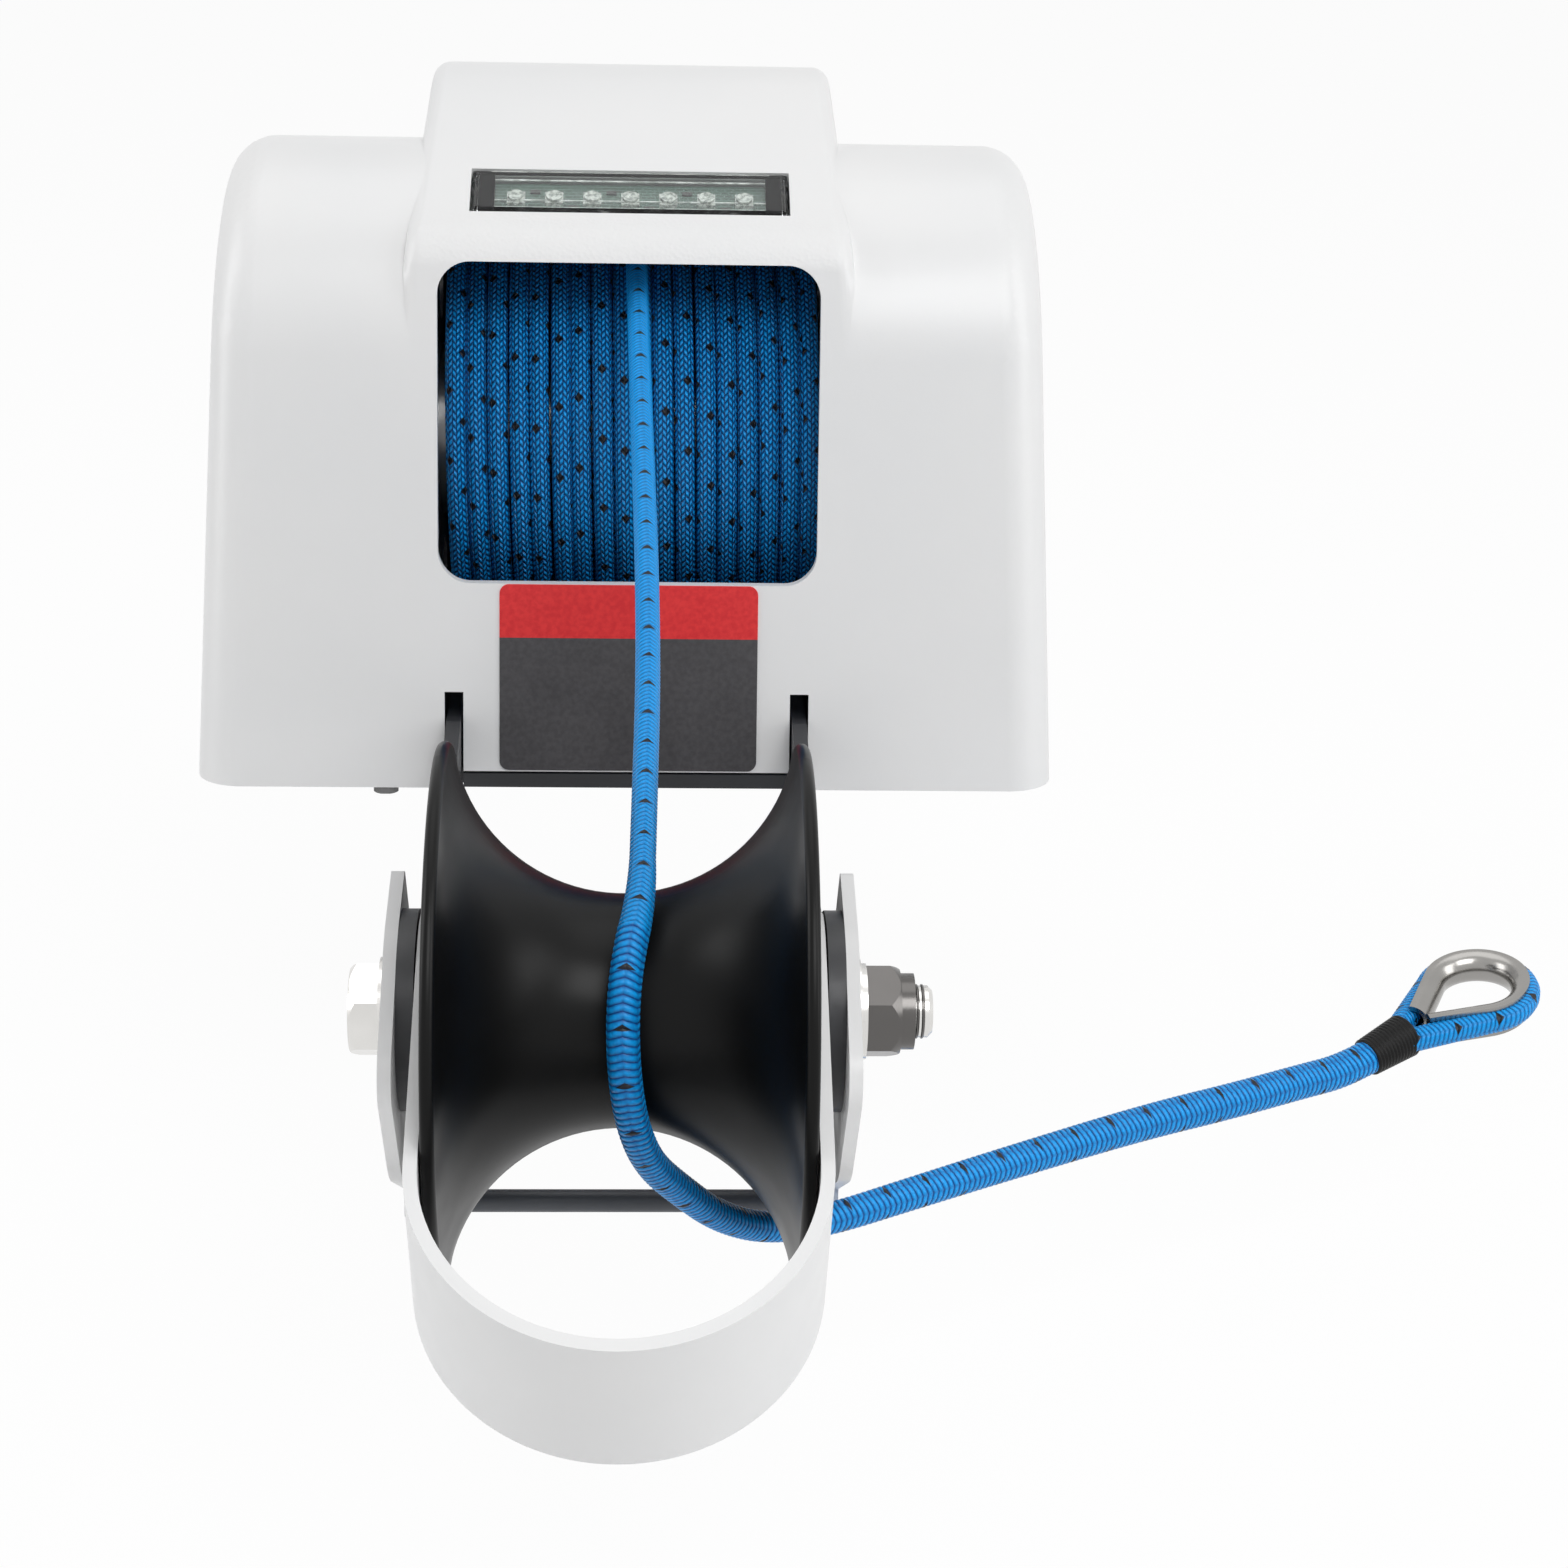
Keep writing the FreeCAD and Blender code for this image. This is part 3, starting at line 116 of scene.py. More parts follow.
def spread(tree, value, low, high, to_low=0.0, to_high=1.0):
    """Map a value from one range to another, clamped."""
    node = tree.nodes.new("ShaderNodeMapRange")
    socket(tree, value, node.inputs["Value"])
    for name, number in (("From Min", low), ("From Max", high), ("To Min", to_low), ("To Max", to_high)):
        node.inputs[name].default_value = number
    return node.outputs[0]


def new_group(name, inputs, outputs):
    """Empty shader group with the named sockets; returns it with its input and output nodes."""
    group = bpy.data.node_groups.new(name, "ShaderNodeTree")
    for label, kind, default in inputs:
        made = group.interface.new_socket(label, in_out="INPUT", socket_type=kind)
        if default is not None:
            made.default_value = default
    for label, kind in outputs:
        group.interface.new_socket(label, in_out="OUTPUT", socket_type=kind)
    return group, group.nodes.new("NodeGroupInput"), group.nodes.new("NodeGroupOutput")


def use_group(tree, group, **values):
    """A shader group's node with its inputs set, an underscore in a name standing for a space."""
    node = tree.nodes.new("ShaderNodeGroup")
    node.node_tree = group
    for label, value in values.items():
        socket(tree, value, node.inputs[label.replace("_", " ")])
    return node


def new_material(name, color=(0.8, 0.8, 0.8), roughness=0.5, metallic=0.0):
    """Material with a Principled shader; returns the material, its tree and the shader."""
    material = bpy.data.materials.new(name)
    material.use_nodes = True
    shader = material.node_tree.nodes["Principled BSDF"]
    shader.inputs["Base Color"].default_value = (*color, 1.0)
    shader.inputs["Roughness"].default_value = roughness
    shader.inputs["Metallic"].default_value = metallic
    return material, material.node_tree, shader


def bump(tree, shader, height, distance, strength=1.0):
    node = tree.nodes.new("ShaderNodeBump")
    node.inputs["Strength"].default_value = strength
    node.inputs["Distance"].default_value = distance
    tree.links.new(height, node.inputs["Height"])
    tree.links.new(node.outputs[0], shader.inputs["Normal"])


def dress(name, material):
    """Give a CAD node its finish."""
    node = nodes[name]
    node.data.materials.clear()
    node.data.materials.append(material)


ridge_power = 0.7
plain_braid = {"Bands": 6.0, "Yarn_Pitch": 1.35, "Yarn_Slant": 1.2}
splice_braid = {"Bands": 6.0, "Yarn_Pitch": 1.65, "Yarn_Slant": 0.9}
wound_braid = {"Bands": 16.0, "Yarn_Pitch": 1.9, "Yarn_Slant": 1.0, "Interlock": 0.5}


def braid_group():
    """Colour and height of the braid from the place along (mm) and around (turns) the rope."""
    group, come, out = new_group(
        "braid",
        [("Along", "NodeSocketFloat", 0.0), ("Around", "NodeSocketFloat", 0.0),
         ("Bands", "NodeSocketFloat", 6.0), ("Yarn Pitch", "NodeSocketFloat", 1.35),
         ("Yarn Slant", "NodeSocketFloat", 1.2), ("Interlock", "NodeSocketFloat", 0.0),
         ("Girth", "NodeSocketFloat", 18.8), ("Turn Length", "NodeSocketFloat", 10000.0),
         ("Tick Rows", "NodeSocketFloat", 3.0), ("Tick Pitch", "NodeSocketFloat", 10.0),
         ("Tick Length", "NodeSocketFloat", 1.2), ("Tick Width", "NodeSocketFloat", 2.0),
         ("Tick Lane", "NodeSocketFloat", 0.5), ("Tick Bend", "NodeSocketFloat", 1.0),
         ("Lightness", "NodeSocketFloat", 0.4)],
        [("Color", "NodeSocketColor"), ("Height", "NodeSocketFloat")])
    along, around = come.outputs["Along"], come.outputs["Around"]
    pitch = come.outputs["Yarn Pitch"]
    band = maths(group, "MULTIPLY", around, come.outputs["Bands"])
    zigzag = maths(group, "MULTIPLY", maths(group, "PINGPONG", band, 1.0), come.outputs["Yarn Slant"])
    slanted = maths(group, "ADD", along, zigzag)
    odd = maths(group, "MODULO", maths(group, "FLOOR", band), 2.0)
    shift = maths(group, "MULTIPLY", maths(group, "MULTIPLY", odd, pitch), come.outputs["Interlock"])
    yarns = maths(group, "DIVIDE", maths(group, "ADD", slanted, shift), pitch)
    ridge = maths(group, "ABSOLUTE", maths(group, "SINE", maths(group, "MULTIPLY", yarns, math.pi)))
    ridge = maths(group, "POWER", ridge, ridge_power)
    in_band = maths(group, "ABSOLUTE", maths(group, "SUBTRACT", maths(group, "FRACT", band), 0.5))
    seam = maths(group, "MULTIPLY", come.outputs["Interlock"], -1.0)
    valley = spread(group, in_band, 0.30, 0.5)
    valley = maths(group, "MULTIPLY", valley, maths(group, "ADD", -0.3, seam))
    height = maths(group, "MULTIPLY", ridge, maths(group, "ADD", valley, 1.0))
    group.links.new(height, out.inputs["Height"])

    turn = group.nodes.new("ShaderNodeTexWhiteNoise")
    turn.noise_dimensions = "1D"
    group.links.new(maths(group, "FLOOR", maths(group, "DIVIDE", along, come.outputs["Turn Length"])),
                    turn.inputs["W"])
    lane = maths(group, "ADD", maths(group, "MULTIPLY", around, come.outputs["Tick Rows"]),
                 come.outputs["Tick Lane"])
    beside = maths(group, "ABSOLUTE", maths(group, "SUBTRACT", maths(group, "FRACT", lane), 0.5))
    beside = maths(group, "MULTIPLY", beside, maths(group, "DIVIDE", come.outputs["Girth"],
                                                    come.outputs["Tick Rows"]))
    place = maths(group, "MULTIPLY", zigzag, come.outputs["Tick Bend"])
    place = maths(group, "DIVIDE", maths(group, "ADD", along, place), come.outputs["Tick Pitch"])
    place = maths(group, "ADD", place, maths(group, "MULTIPLY", maths(group, "FLOOR", lane), 0.45))
    place = maths(group, "ADD", place, turn.outputs["Value"])
    nearest = maths(group, "ABSOLUTE", maths(group, "SUBTRACT", maths(group, "FRACT", place), 0.5))
    nearest = maths(group, "MULTIPLY", nearest, come.outputs["Tick Pitch"])
    reach = maths(group, "ADD", maths(group, "DIVIDE", nearest, come.outputs["Tick Length"]),
                  maths(group, "DIVIDE", beside, come.outputs["Tick Width"]))
    tick = spread(group, reach, 0.42, 0.52, 1.0, 0.0)

    fibre = noise_value(group, 900.0, 2.0)
    # The blue is painted darker in the yarn valleys and lighter on the yarn crests, following the braid's
    # height: painted shade and painted highlight.
    valley_shade_tone = maths(group, "MULTIPLY", height, spread(group, fibre, 0.3, 0.7, 0.75, 1.1))
    blue = mix(group, spread(group, valley_shade_tone, 0.1, 0.95), (0.001, 0.045, 0.24, 1), (0.004, 0.36, 0.90, 1))
    # The next mix takes part of that painted valley shade back out, toward the light blue.
    blue = mix(group, come.outputs["Lightness"], blue, (0.004, 0.36, 0.90, 1))
    color = mix(group, tick, blue, (0.004, 0.006, 0.012, 1))
    group.links.new(color, out.inputs["Color"])
    return group


braid = braid_group()


def rope_material(name, length, relief=0.35, **values):
    """Braided rope; the piece's UV runs along it from 0 to 1 and once around it."""
    material, tree, shader = new_material(name, roughness=0.38)
    shader.inputs["Specular IOR Level"].default_value = 0.3
    uv = tree.nodes.new("ShaderNodeUVMap")
    uv.uv_map = "rope"
    apart = tree.nodes.new("ShaderNodeSeparateXYZ")
    tree.links.new(uv.outputs[0], apart.inputs[0])
    along = maths(tree, "MULTIPLY", apart.outputs[0], length)
    made = use_group(tree, braid, Along=along, Around=apart.outputs[1], **values)
    tree.links.new(made.outputs["Color"], shader.inputs["Base Color"])
    bump(tree, shader, made.outputs["Height"], relief * mm, 1.0)
    return material


def link_object(name, data):
    made = bpy.data.objects.new(name, data)
    bpy.context.scene.collection.objects.link(made)
    return made


def smooth_line(points):
    """Points of the NURBS spline that has the route's points as its control points."""
    data = bpy.data.curves.new("route", "CURVE")
    data.dimensions = "3D"
    spline = data.splines.new("NURBS")
    spline.points.add(len(points) - 1)
    for target, point in zip(spline.points, points):
        target.co = (*point, 1.0)
    spline.order_u = 3
    spline.use_endpoint_u = True
    spline.resolution_u = 40
    carrier = link_object("route", data)
    bpy.context.view_layer.update()
    mesh = bpy.data.meshes.new_from_object(carrier)
    line = [v.co.copy() for v in mesh.vertices]
    bpy.data.objects.remove(carrier)
    bpy.data.meshes.remove(mesh)
    bpy.data.curves.remove(data)
    return line


def line_length(line):
    return sum((b - a).length for a, b in zip(line, line[1:]))


def even_line(line, step):
    """The same line with its points an even step apart."""
    count = max(2, round(line_length(line) / step))
    step = line_length(line) / count
    result = [line[0].copy()]
    left = step
    for a, b in zip(line, line[1:]):
        run = (b - a).length
        done = 0.0
        while run - done >= left and len(result) < count:
            done += left
            result.append(a.lerp(b, done / run))
            left = step
        left -= run - done
    result.append(line[-1].copy())
    return result


ridge_level = 0.6
valley_from = 0.36
valley_depth = 0.3


def rope_tube(name, line, radius_at, sides, rib=0.0, yarns=plain_braid):
    """Round tube along a line, its yarn ridges raised by rib, with a UV map named rope."""
    data = bpy.data.curves.new(name, "CURVE")
    data.dimensions = "3D"
    data.bevel_depth = 1.0
    data.bevel_resolution = max(0, sides // 4 - 1)
    data.use_fill_caps = True
    spline = data.splines.new("POLY")
    spline.points.add(len(line) - 1)
    last = len(line) - 1
    for i, point in enumerate(line):
        spline.points[i].co = (*point, 1.0)
        spline.points[i].radius = radius_at(i / last)
    carrier = link_object(name + "_path", data)
    bpy.context.view_layer.update()
    mesh = bpy.data.meshes.new_from_object(carrier)
    bpy.data.objects.remove(carrier)
    bpy.data.curves.remove(data)
    mesh.uv_layers[0].name = "rope"
    length = line_length(line) / mm
    if rib > 0:
        lift = {}
        for loop, place in zip(mesh.loops, mesh.uv_layers[0].data):
            band = place.uv[1] * yarns["Bands"]
            zigzag = 1 - abs(band % 2 - 1)
            slanted = place.uv[0] * length + zigzag * yarns["Yarn_Slant"]
            ridge = abs(math.sin(slanted * math.pi / yarns["Yarn_Pitch"])) ** ridge_power
            valley = max(0.0, (abs(band % 1 - 0.5) - valley_from) / (0.5 - valley_from))
            lift[loop.vertex_index] = (ridge * (1.0 - valley_depth * valley) - ridge_level) * rib
        normals = [v.normal.copy() for v in mesh.vertices]
        for index, height in lift.items():
            mesh.vertices[index].co += normals[index] * height
    for polygon in mesh.polygons:
        polygon.use_smooth = len(polygon.vertices) == 4
    return link_object(name, mesh)


# The route of the free rope and of its spliced end, in millimetres, from the drum's top to the eye.
rope_route = [
    (1.2, 8.0, 145.7),
    (1.2, -1.4, 147.5),
    (1.2, -15.4, 147.3),
    (1.4, -28.4, 144.4),
    (3.6, -113.0, 107.4),
    (5.8, -193.0, 72.6),
    (4.6, -256.0, 45.2),
    (4.2, -274.4, 37.7),
    (2.6, -281.9, 32.7),
]
splice_route = [
    (2.6, -281.9, 32.7),
    (1.0, -289.4, 27.7),
    (0.2, -296.0, 15.6),
    (1.0, -297.0, 2.0),
    (3.0, -293.2, -10.6),
    (6.6, -285.2, -22.6),
    (13.2, -275.0, -33.6),
    (22.2, -262.8, -46.8),
    (34.0, -249.6, -57.0),
    (49.0, -241.4, -59.2),
    (70.0, -227.6, -59.1),
    (96.0, -210.3, -59.2),
    (134.0, -186.3, -59.1),
    (162.0, -171.4, -59.2),
    (181.0, -160.0, -59.3),
    (195.5, -152.0, -59.3),
    (204.8, -146.2, -56.6),
]
rope_radius = 3.0 * mm
splice_start_radius = 3.7 * mm
splice_end_radius = 4.65 * mm
free_swell_from = 0.93
splice_swell_from = 0.35
splice_swell_over = 0.45
splice_slack = 0.02
ring_step = 0.45 * mm

rope_line = even_line(smooth_line([Vector(p) * mm for p in rope_route]), ring_step)
splice_line = even_line(smooth_line([Vector(p) * mm for p in splice_route]), ring_step)


def free_radius(t):
    """The plain rope swells a little where its tucked strands begin."""
    swell = max(0.0, (t - free_swell_from) / (1.0 - free_swell_from))
    return rope_radius + (splice_start_radius - rope_radius) * swell


def splice_radius(t):
    """The splice thickens slowly along its middle."""
    swell = min(1.0, max(0.0, (t - splice_swell_from) / splice_swell_over))
    swell *= 1.0 - splice_slack + splice_slack * swell
    return splice_start_radius + (splice_end_radius - splice_start_radius) * swell


rope_length = line_length(rope_line)
splice_length = line_length(splice_line)
free_rope = rope_tube("free_rope", rope_line, free_radius, 24, 0.10 * mm)
free_rope.data.materials.append(
    rope_material("rope_free_braid", rope_length / mm, **plain_braid, Tick_Pitch=10.3,
                  Tick_Length=1.5, Tick_Width=4.2, Tick_Lane=0.0, Lightness=0.5))
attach(free_rope, "frame")
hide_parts("rope_free")

spliced_rope = rope_tube("spliced_rope", splice_line, splice_radius, 28, 0.20 * mm, splice_braid)
spliced_rope.data.materials.append(
    rope_material("splice_braid", splice_length / mm, relief=0.3, **splice_braid, Girth=26.0,
                  Tick_Pitch=12.0, Tick_Length=1.5, Tick_Width=5.6, Tick_Lane=0.0, Lightness=0.0))
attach(spliced_rope, "frame")
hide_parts("rope_splice")

# Eye, thimble and whipping
# The rope is laid round a stainless thimble and tucked back into itself. A black twine whipping
# closes the throat, its turns side by side.
eye_inner_radius = 9.0
eye_rope_radius = 3.4
eye_wall = 1.4
eye_throat = 27.6
eye_roll = math.radians(5.0)
whipping_length = 11.0
tucked_in = 5.0
tuck_side = 1.0
splice_end = Vector(splice_route[-1])
splice_heading = (splice_end - Vector(splice_route[-2])).normalized()
eye_place = (Matrix.Translation(splice_end * mm)
             @ Matrix.Rotation(math.atan2(splice_heading.y, splice_heading.x), 4, "Z")
             @ Matrix.Rotation(-math.asin(splice_heading.z), 4, "Y")
             @ Matrix.Rotation(eye_roll, 4, "X") @ Matrix.Scale(mm, 4))


def eye_line():
    """Centre line of the rope round the eye, from the whipping and back to it."""
    radius = eye_inner_radius + eye_wall + eye_rope_radius
    centre = whipping_length + eye_throat
    half_turn = math.pi / 2 + math.asin(radius / eye_throat)
    steps = 60
    line = [Vector((whipping_length - tucked_in, -tuck_side, 0))]
    for i in range(steps + 1):
        turn = -half_turn + 2 * half_turn * i / steps
        line.append(Vector((centre + radius * math.cos(turn), radius * math.sin(turn), 0)))
    line.append(Vector((whipping_length - tucked_in, tuck_side, 0)))
    return [eye_place @ point for point in line]


eye_path = even_line(eye_line(), ring_step)
eye_rope = rope_tube("eye_rope", eye_path, lambda t: eye_rope_radius * mm, 24, 0.12 * mm)
eye_rope.data.materials.append(
    rope_material("eye_braid", line_length(eye_path) / mm, **plain_braid, Tick_Pitch=12.0,
                  Tick_Length=2.2, Tick_Width=4.0, Lightness=0.3))
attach(eye_rope, "frame")
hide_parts("rope_eye")

stainless_group, come, out = new_group(
    "brushed_metal", [("Grain", "NodeSocketFloat", 1.0)],
    [("Color", "NodeSocketColor"), ("Roughness", "NodeSocketFloat"), ("Height", "NodeSocketFloat")])
coordinates = stainless_group.nodes.new("ShaderNodeTexCoord").outputs["Object"]
stretch = stainless_group.nodes.new("ShaderNodeMapping")
stretch.inputs["Scale"].default_value = (1.0, 9.0, 9.0)
stainless_group.links.new(coordinates, stretch.inputs["Vector"])
lines = noise_value(stainless_group, 420.0, 4.0, 0.65, stretch.outputs[0])
stain = noise_value(stainless_group, 60.0, 3.0)
stainless_group.links.new(
    mix(stainless_group, spread(stainless_group, stain, 0.3, 0.7),
        (0.66, 0.65, 0.63, 1), (0.74, 0.73, 0.71, 1)),
    out.inputs["Color"])
stainless_group.links.new(
    maths(stainless_group, "ADD", spread(stainless_group, lines, 0.3, 0.7, 0.16, 0.22),
          maths(stainless_group, "MULTIPLY", stain, 0.06)), out.inputs["Roughness"])
stainless_group.links.new(maths(stainless_group, "MULTIPLY", lines, come.outputs["Grain"]),
                          out.inputs["Height"])


def metal_material(name, tint, extra_roughness=0.0):
    """Brushed metal in a tint of the plain steel colour."""
    material, tree, shader = new_material(name, metallic=1.0)
    made = use_group(tree, stainless_group, Grain=1.0)
    tinted = tree.nodes.new("ShaderNodeMix")
    tinted.data_type = "RGBA"
    tinted.blend_type = "MULTIPLY"
    tinted.inputs["Factor"].default_value = 1.0
    tree.links.new(made.outputs["Color"], tinted.inputs[6])
    tinted.inputs[7].default_value = (*tint, 1.0)
    tree.links.new(tinted.outputs[2], shader.inputs["Base Color"])
    tree.links.new(maths(tree, "ADD", made.outputs["Roughness"], extra_roughness),
                   shader.inputs["Roughness"])
    bump(tree, shader, made.outputs["Height"], 0.004 * mm, 0.3)
    return material


stainless = metal_material("stainless", (1.0, 1.0, 1.0))
# The thimble takes the stainless darkened to under half: painted shade for the darker surroundings that its
# polished faces reflect.
dress("thimble", metal_material("shaded_thimble_steel", (0.46, 0.455, 0.45)))


def spun_profile(name, outline, steps, place):
    """An open outline of (x, radius) points turned once about the X axis."""
    made = bmesh.new()
    verts = [made.verts.new((x, 0, radius)) for x, radius in outline]
    edges = [made.edges.new(pair) for pair in zip(verts, verts[1:])]
    bmesh.ops.spin(made, geom=verts + edges, cent=(0, 0, 0), axis=(1, 0, 0), angle=2 * math.pi,
                   steps=steps, use_merge=True, use_duplicate=False)
    bmesh.ops.remove_doubles(made, verts=made.verts, dist=1e-5)
    bmesh.ops.recalc_face_normals(made, faces=made.faces)
    made.transform(place)
    mesh = bpy.data.meshes.new(name)
    made.to_mesh(mesh)
    made.free()
    for polygon in mesh.polygons:
        polygon.use_smooth = True
    return link_object(name, mesh)


twine_turns = 13
twine_points = 6
twine_from = -3.6
twine_to = whipping_length - 0.2
twine_bulge = 0.30
twine_base = 5.0
twine_growth = 0.9
whipping_outline = [(twine_from, eye_rope_radius)]
for i in range(twine_turns):
    for j in range(twine_points):
        part = (i + j / twine_points) / twine_turns
        bulge = twine_bulge * abs(math.sin(math.pi * j / twine_points))
        swell = twine_base + twine_growth * part
        whipping_outline.append((twine_from + (twine_to - twine_from) * part, swell + bulge))
whipping_outline.append((twine_to, eye_rope_radius))
whipping_cord = spun_profile("whipping_twine", whipping_outline, 56, eye_place)
material, tree, shader = new_material("black_twine", (0.012, 0.012, 0.014), 0.42)
shader.inputs["Specular IOR Level"].default_value = 0.2
fuzz = noise_value(tree, 2600.0, 3.0)
tree.links.new(
    mix(tree, spread(tree, fuzz, 0.35, 0.7), (0.002, 0.002, 0.002, 1), (0.007, 0.007, 0.007, 1)),
    shader.inputs["Base Color"])
bump(tree, shader, fuzz, 0.15 * mm, 0.6)
whipping_cord.data.materials.append(material)
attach(whipping_cord, "frame")
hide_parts("whipping")

# Wound rope
# One layer of the same 6 mm rope lies on the drum, turn beside turn, and wanders a little.
# Its turns are one helix from flange to flange.
drum_low, drum_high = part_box("rope_winding")
drum_middle = (drum_low + drum_high) / 2
wound_radius = (drum_high.z - drum_low.z) / 2 - rope_radius
wound_turns = 18
wound_steps = 112
wound_gap = 0.1 * mm
wound_half = (drum_high.x - drum_low.x) / 2 - rope_radius - wound_gap
wound_wander = 0.9 * mm
wander_per_turn = 0.8
wound_bob = 0.35 * mm
bob_per_turn = 2.3
settled_turns = 1.5

wound_line = []
for i in range(wound_turns * wound_steps + 1):
    turn = i / wound_steps
    angle = 2 * math.pi * turn - math.pi / 2
    inside = min(1.0, turn / settled_turns, (wound_turns - turn) / settled_turns)
    drift = noise.noise(Vector((turn * wander_per_turn, 0.3, 5.1))) * wound_wander * inside
    bob = noise.noise(Vector((turn * bob_per_turn, 7.7, 1.9))) * wound_bob - wound_bob / 2
    x = drum_middle.x - wound_half + 2 * wound_half * turn / wound_turns + drift
    wound_line.append(Vector((x, drum_middle.y + (wound_radius + bob) * math.cos(angle),
                              drum_middle.z + (wound_radius + bob) * math.sin(angle))))
wound_rope = rope_tube("wound_rope", wound_line, lambda t: rope_radius, 12)
wound_length = line_length(wound_line) / mm
wound_rope.data.materials.append(
    rope_material("wound_braid", wound_length, **wound_braid, Turn_Length=wound_length / wound_turns,
                  Tick_Rows=4.0, Tick_Pitch=18.7, Tick_Length=3.2, Tick_Width=3.2, Tick_Bend=0.0,
                  Lightness=0.0, relief=1.0))
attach(wound_rope, "drum")
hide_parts("rope_winding")

# Cover
# A thick moulding in pale grey, glossy with a faint orange peel. The bend above the window keeps a
# coarser grain from the mould.
cover_group, come, out = new_group(
    "moulded_skin", [("Peel", "NodeSocketFloat", 1.0)],
    [("Mottle", "NodeSocketFloat"), ("Height", "NodeSocketFloat")])
peel = noise_value(cover_group, 260.0, 2.0)
fine = noise_value(cover_group, 1400.0, 2.0)
mottle = noise_value(cover_group, 14.0, 3.0)
cover_group.links.new(mottle, out.inputs["Mottle"])
cover_group.links.new(
    maths(cover_group, "ADD", maths(cover_group, "MULTIPLY", peel, come.outputs["Peel"]),
          maths(cover_group, "MULTIPLY", fine, 0.25)), out.inputs["Height"])

grain_low = 140.0 * mm
grain_high = 152.0 * mm
grain_back = -52.0 * mm
grain_half = 54.0 * mm
grain_fade = 6.0 * mm
material, tree, shader = new_material("cover_grey", roughness=0.32)
skin = use_group(tree, cover_group, Peel=1.0)
place = tree.nodes.new("ShaderNodeSeparateXYZ")
tree.links.new(tree.nodes.new("ShaderNodeTexCoord").outputs["Object"], place.inputs[0])
above = spread(tree, place.outputs["Z"], grain_low, grain_low + 4 * mm)
below = spread(tree, place.outputs["Z"], grain_high, grain_high + 5 * mm, 1.0, 0.0)
ahead = spread(tree, place.outputs["Y"], grain_back, grain_back + grain_fade, 1.0, 0.0)
sideways = maths(tree, "ABSOLUTE", place.outputs["X"])
between = spread(tree, sideways, grain_half, grain_half + grain_fade, 1.0, 0.0)
band = maths(tree, "MULTIPLY", maths(tree, "MULTIPLY", above, below),
             maths(tree, "MULTIPLY", ahead, between))
pebble = tree.nodes.new("ShaderNodeTexVoronoi")
pebble.inputs["Scale"].default_value = 900.0
tree.links.new(tree.nodes.new("ShaderNodeTexCoord").outputs["Object"], pebble.inputs["Vector"])
grain = maths(tree, "MULTIPLY", pebble.outputs["Distance"], maths(tree, "MULTIPLY", band, 3.0))
tree.links.new(
    mix(tree, spread(tree, skin.outputs["Mottle"], 0.3, 0.7),
        (0.775, 0.780, 0.785, 1), (0.805, 0.805, 0.805, 1)),
    shader.inputs["Base Color"])
tree.links.new(maths(tree, "ADD", maths(tree, "MULTIPLY", band, 0.2),
                     spread(tree, skin.outputs["Mottle"], 0.3, 0.7, 0.28, 0.36)), shader.inputs["Roughness"])
bump(tree, shader, maths(tree, "ADD", skin.outputs["Height"], grain), 0.06 * mm, 0.5)
cover_finish = material

# The top of the cover falls away to the rear, so a sheared copy of the CAD cover stands for it. The
# raised middle starts to fall further back than the wings. Cuts across the top let it bend smoothly.
fall_slope = math.tan(math.radians(10.0))
wing_fall_from = -25.0 * mm
hump_fall_from = 0.0 * mm
fall_ease = 20.0 * mm
hump_side = 57.2 * mm
hump_side_blend = 1.4 * mm
fall_foot = 60.0 * mm
fall_full = 120.0 * mm
top_cuts = 9
cuts_ahead = 2
sharp_angle = math.radians(32.0)


def top_fall(point):
    """How far a point of the cover comes down, eased in along the top and from the foot up."""
    beside = min(1.0, max(0.0, (abs(point.x) - hump_side) / hump_side_blend))
    start = hump_fall_from + (wing_fall_from - hump_fall_from) * beside
    back = point.y - start
    if back <= -fall_ease:
        return 0.0
    run = back if back >= fall_ease else (back + fall_ease) ** 2 / (4 * fall_ease)
    up = min(1.0, max(0.0, (point.z - fall_foot) / (fall_full - fall_foot)))
    return fall_slope * run * up * up * (3 - 2 * up)


made = bmesh.new()
made.from_mesh(nodes["housing_cover"].data)
bmesh.ops.remove_doubles(made, verts=made.verts, dist=1e-6)
for i in range(top_cuts):
    across = hump_fall_from + fall_ease * (i - cuts_ahead) / 2
    bmesh.ops.bisect_plane(made, geom=made.verts[:] + made.edges[:] + made.faces[:],
                           plane_co=(0, across, 0), plane_no=(0, 1, 0))
for vert in made.verts:
    vert.co.z -= top_fall(vert.co)
mesh = bpy.data.meshes.new("cover_moulding")
made.to_mesh(mesh)
made.free()
for polygon in mesh.polygons:
    polygon.use_smooth = True
mesh.set_sharp_from_angle(angle=sharp_angle)
cover_moulding = link_object("cover_moulding", mesh)
weighted = cover_moulding.modifiers.new("flat faces lead", "WEIGHTED_NORMAL")
weighted.mode = "FACE_AREA"
weighted.keep_sharp = True
cover_moulding.data.materials.append(cover_finish)
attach(cover_moulding, "frame")
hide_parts("housing_cover")

# Front plate
# A thin printed plate with rounded corners is stuck on the sloping front under the window, red above
# and charcoal below. It bears no words or signs.
front_lean = math.radians(9.9)
cover_box_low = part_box("housing_cover")[0]
plate_width = 71.4
plate_low_z = 5.1
plate_high_z = 56.2
plate_red_z = 41.6
plate_corner = 2.6
plate_thick = 0.35
plate_edge = 0.12
plate_centre_x = 0.4


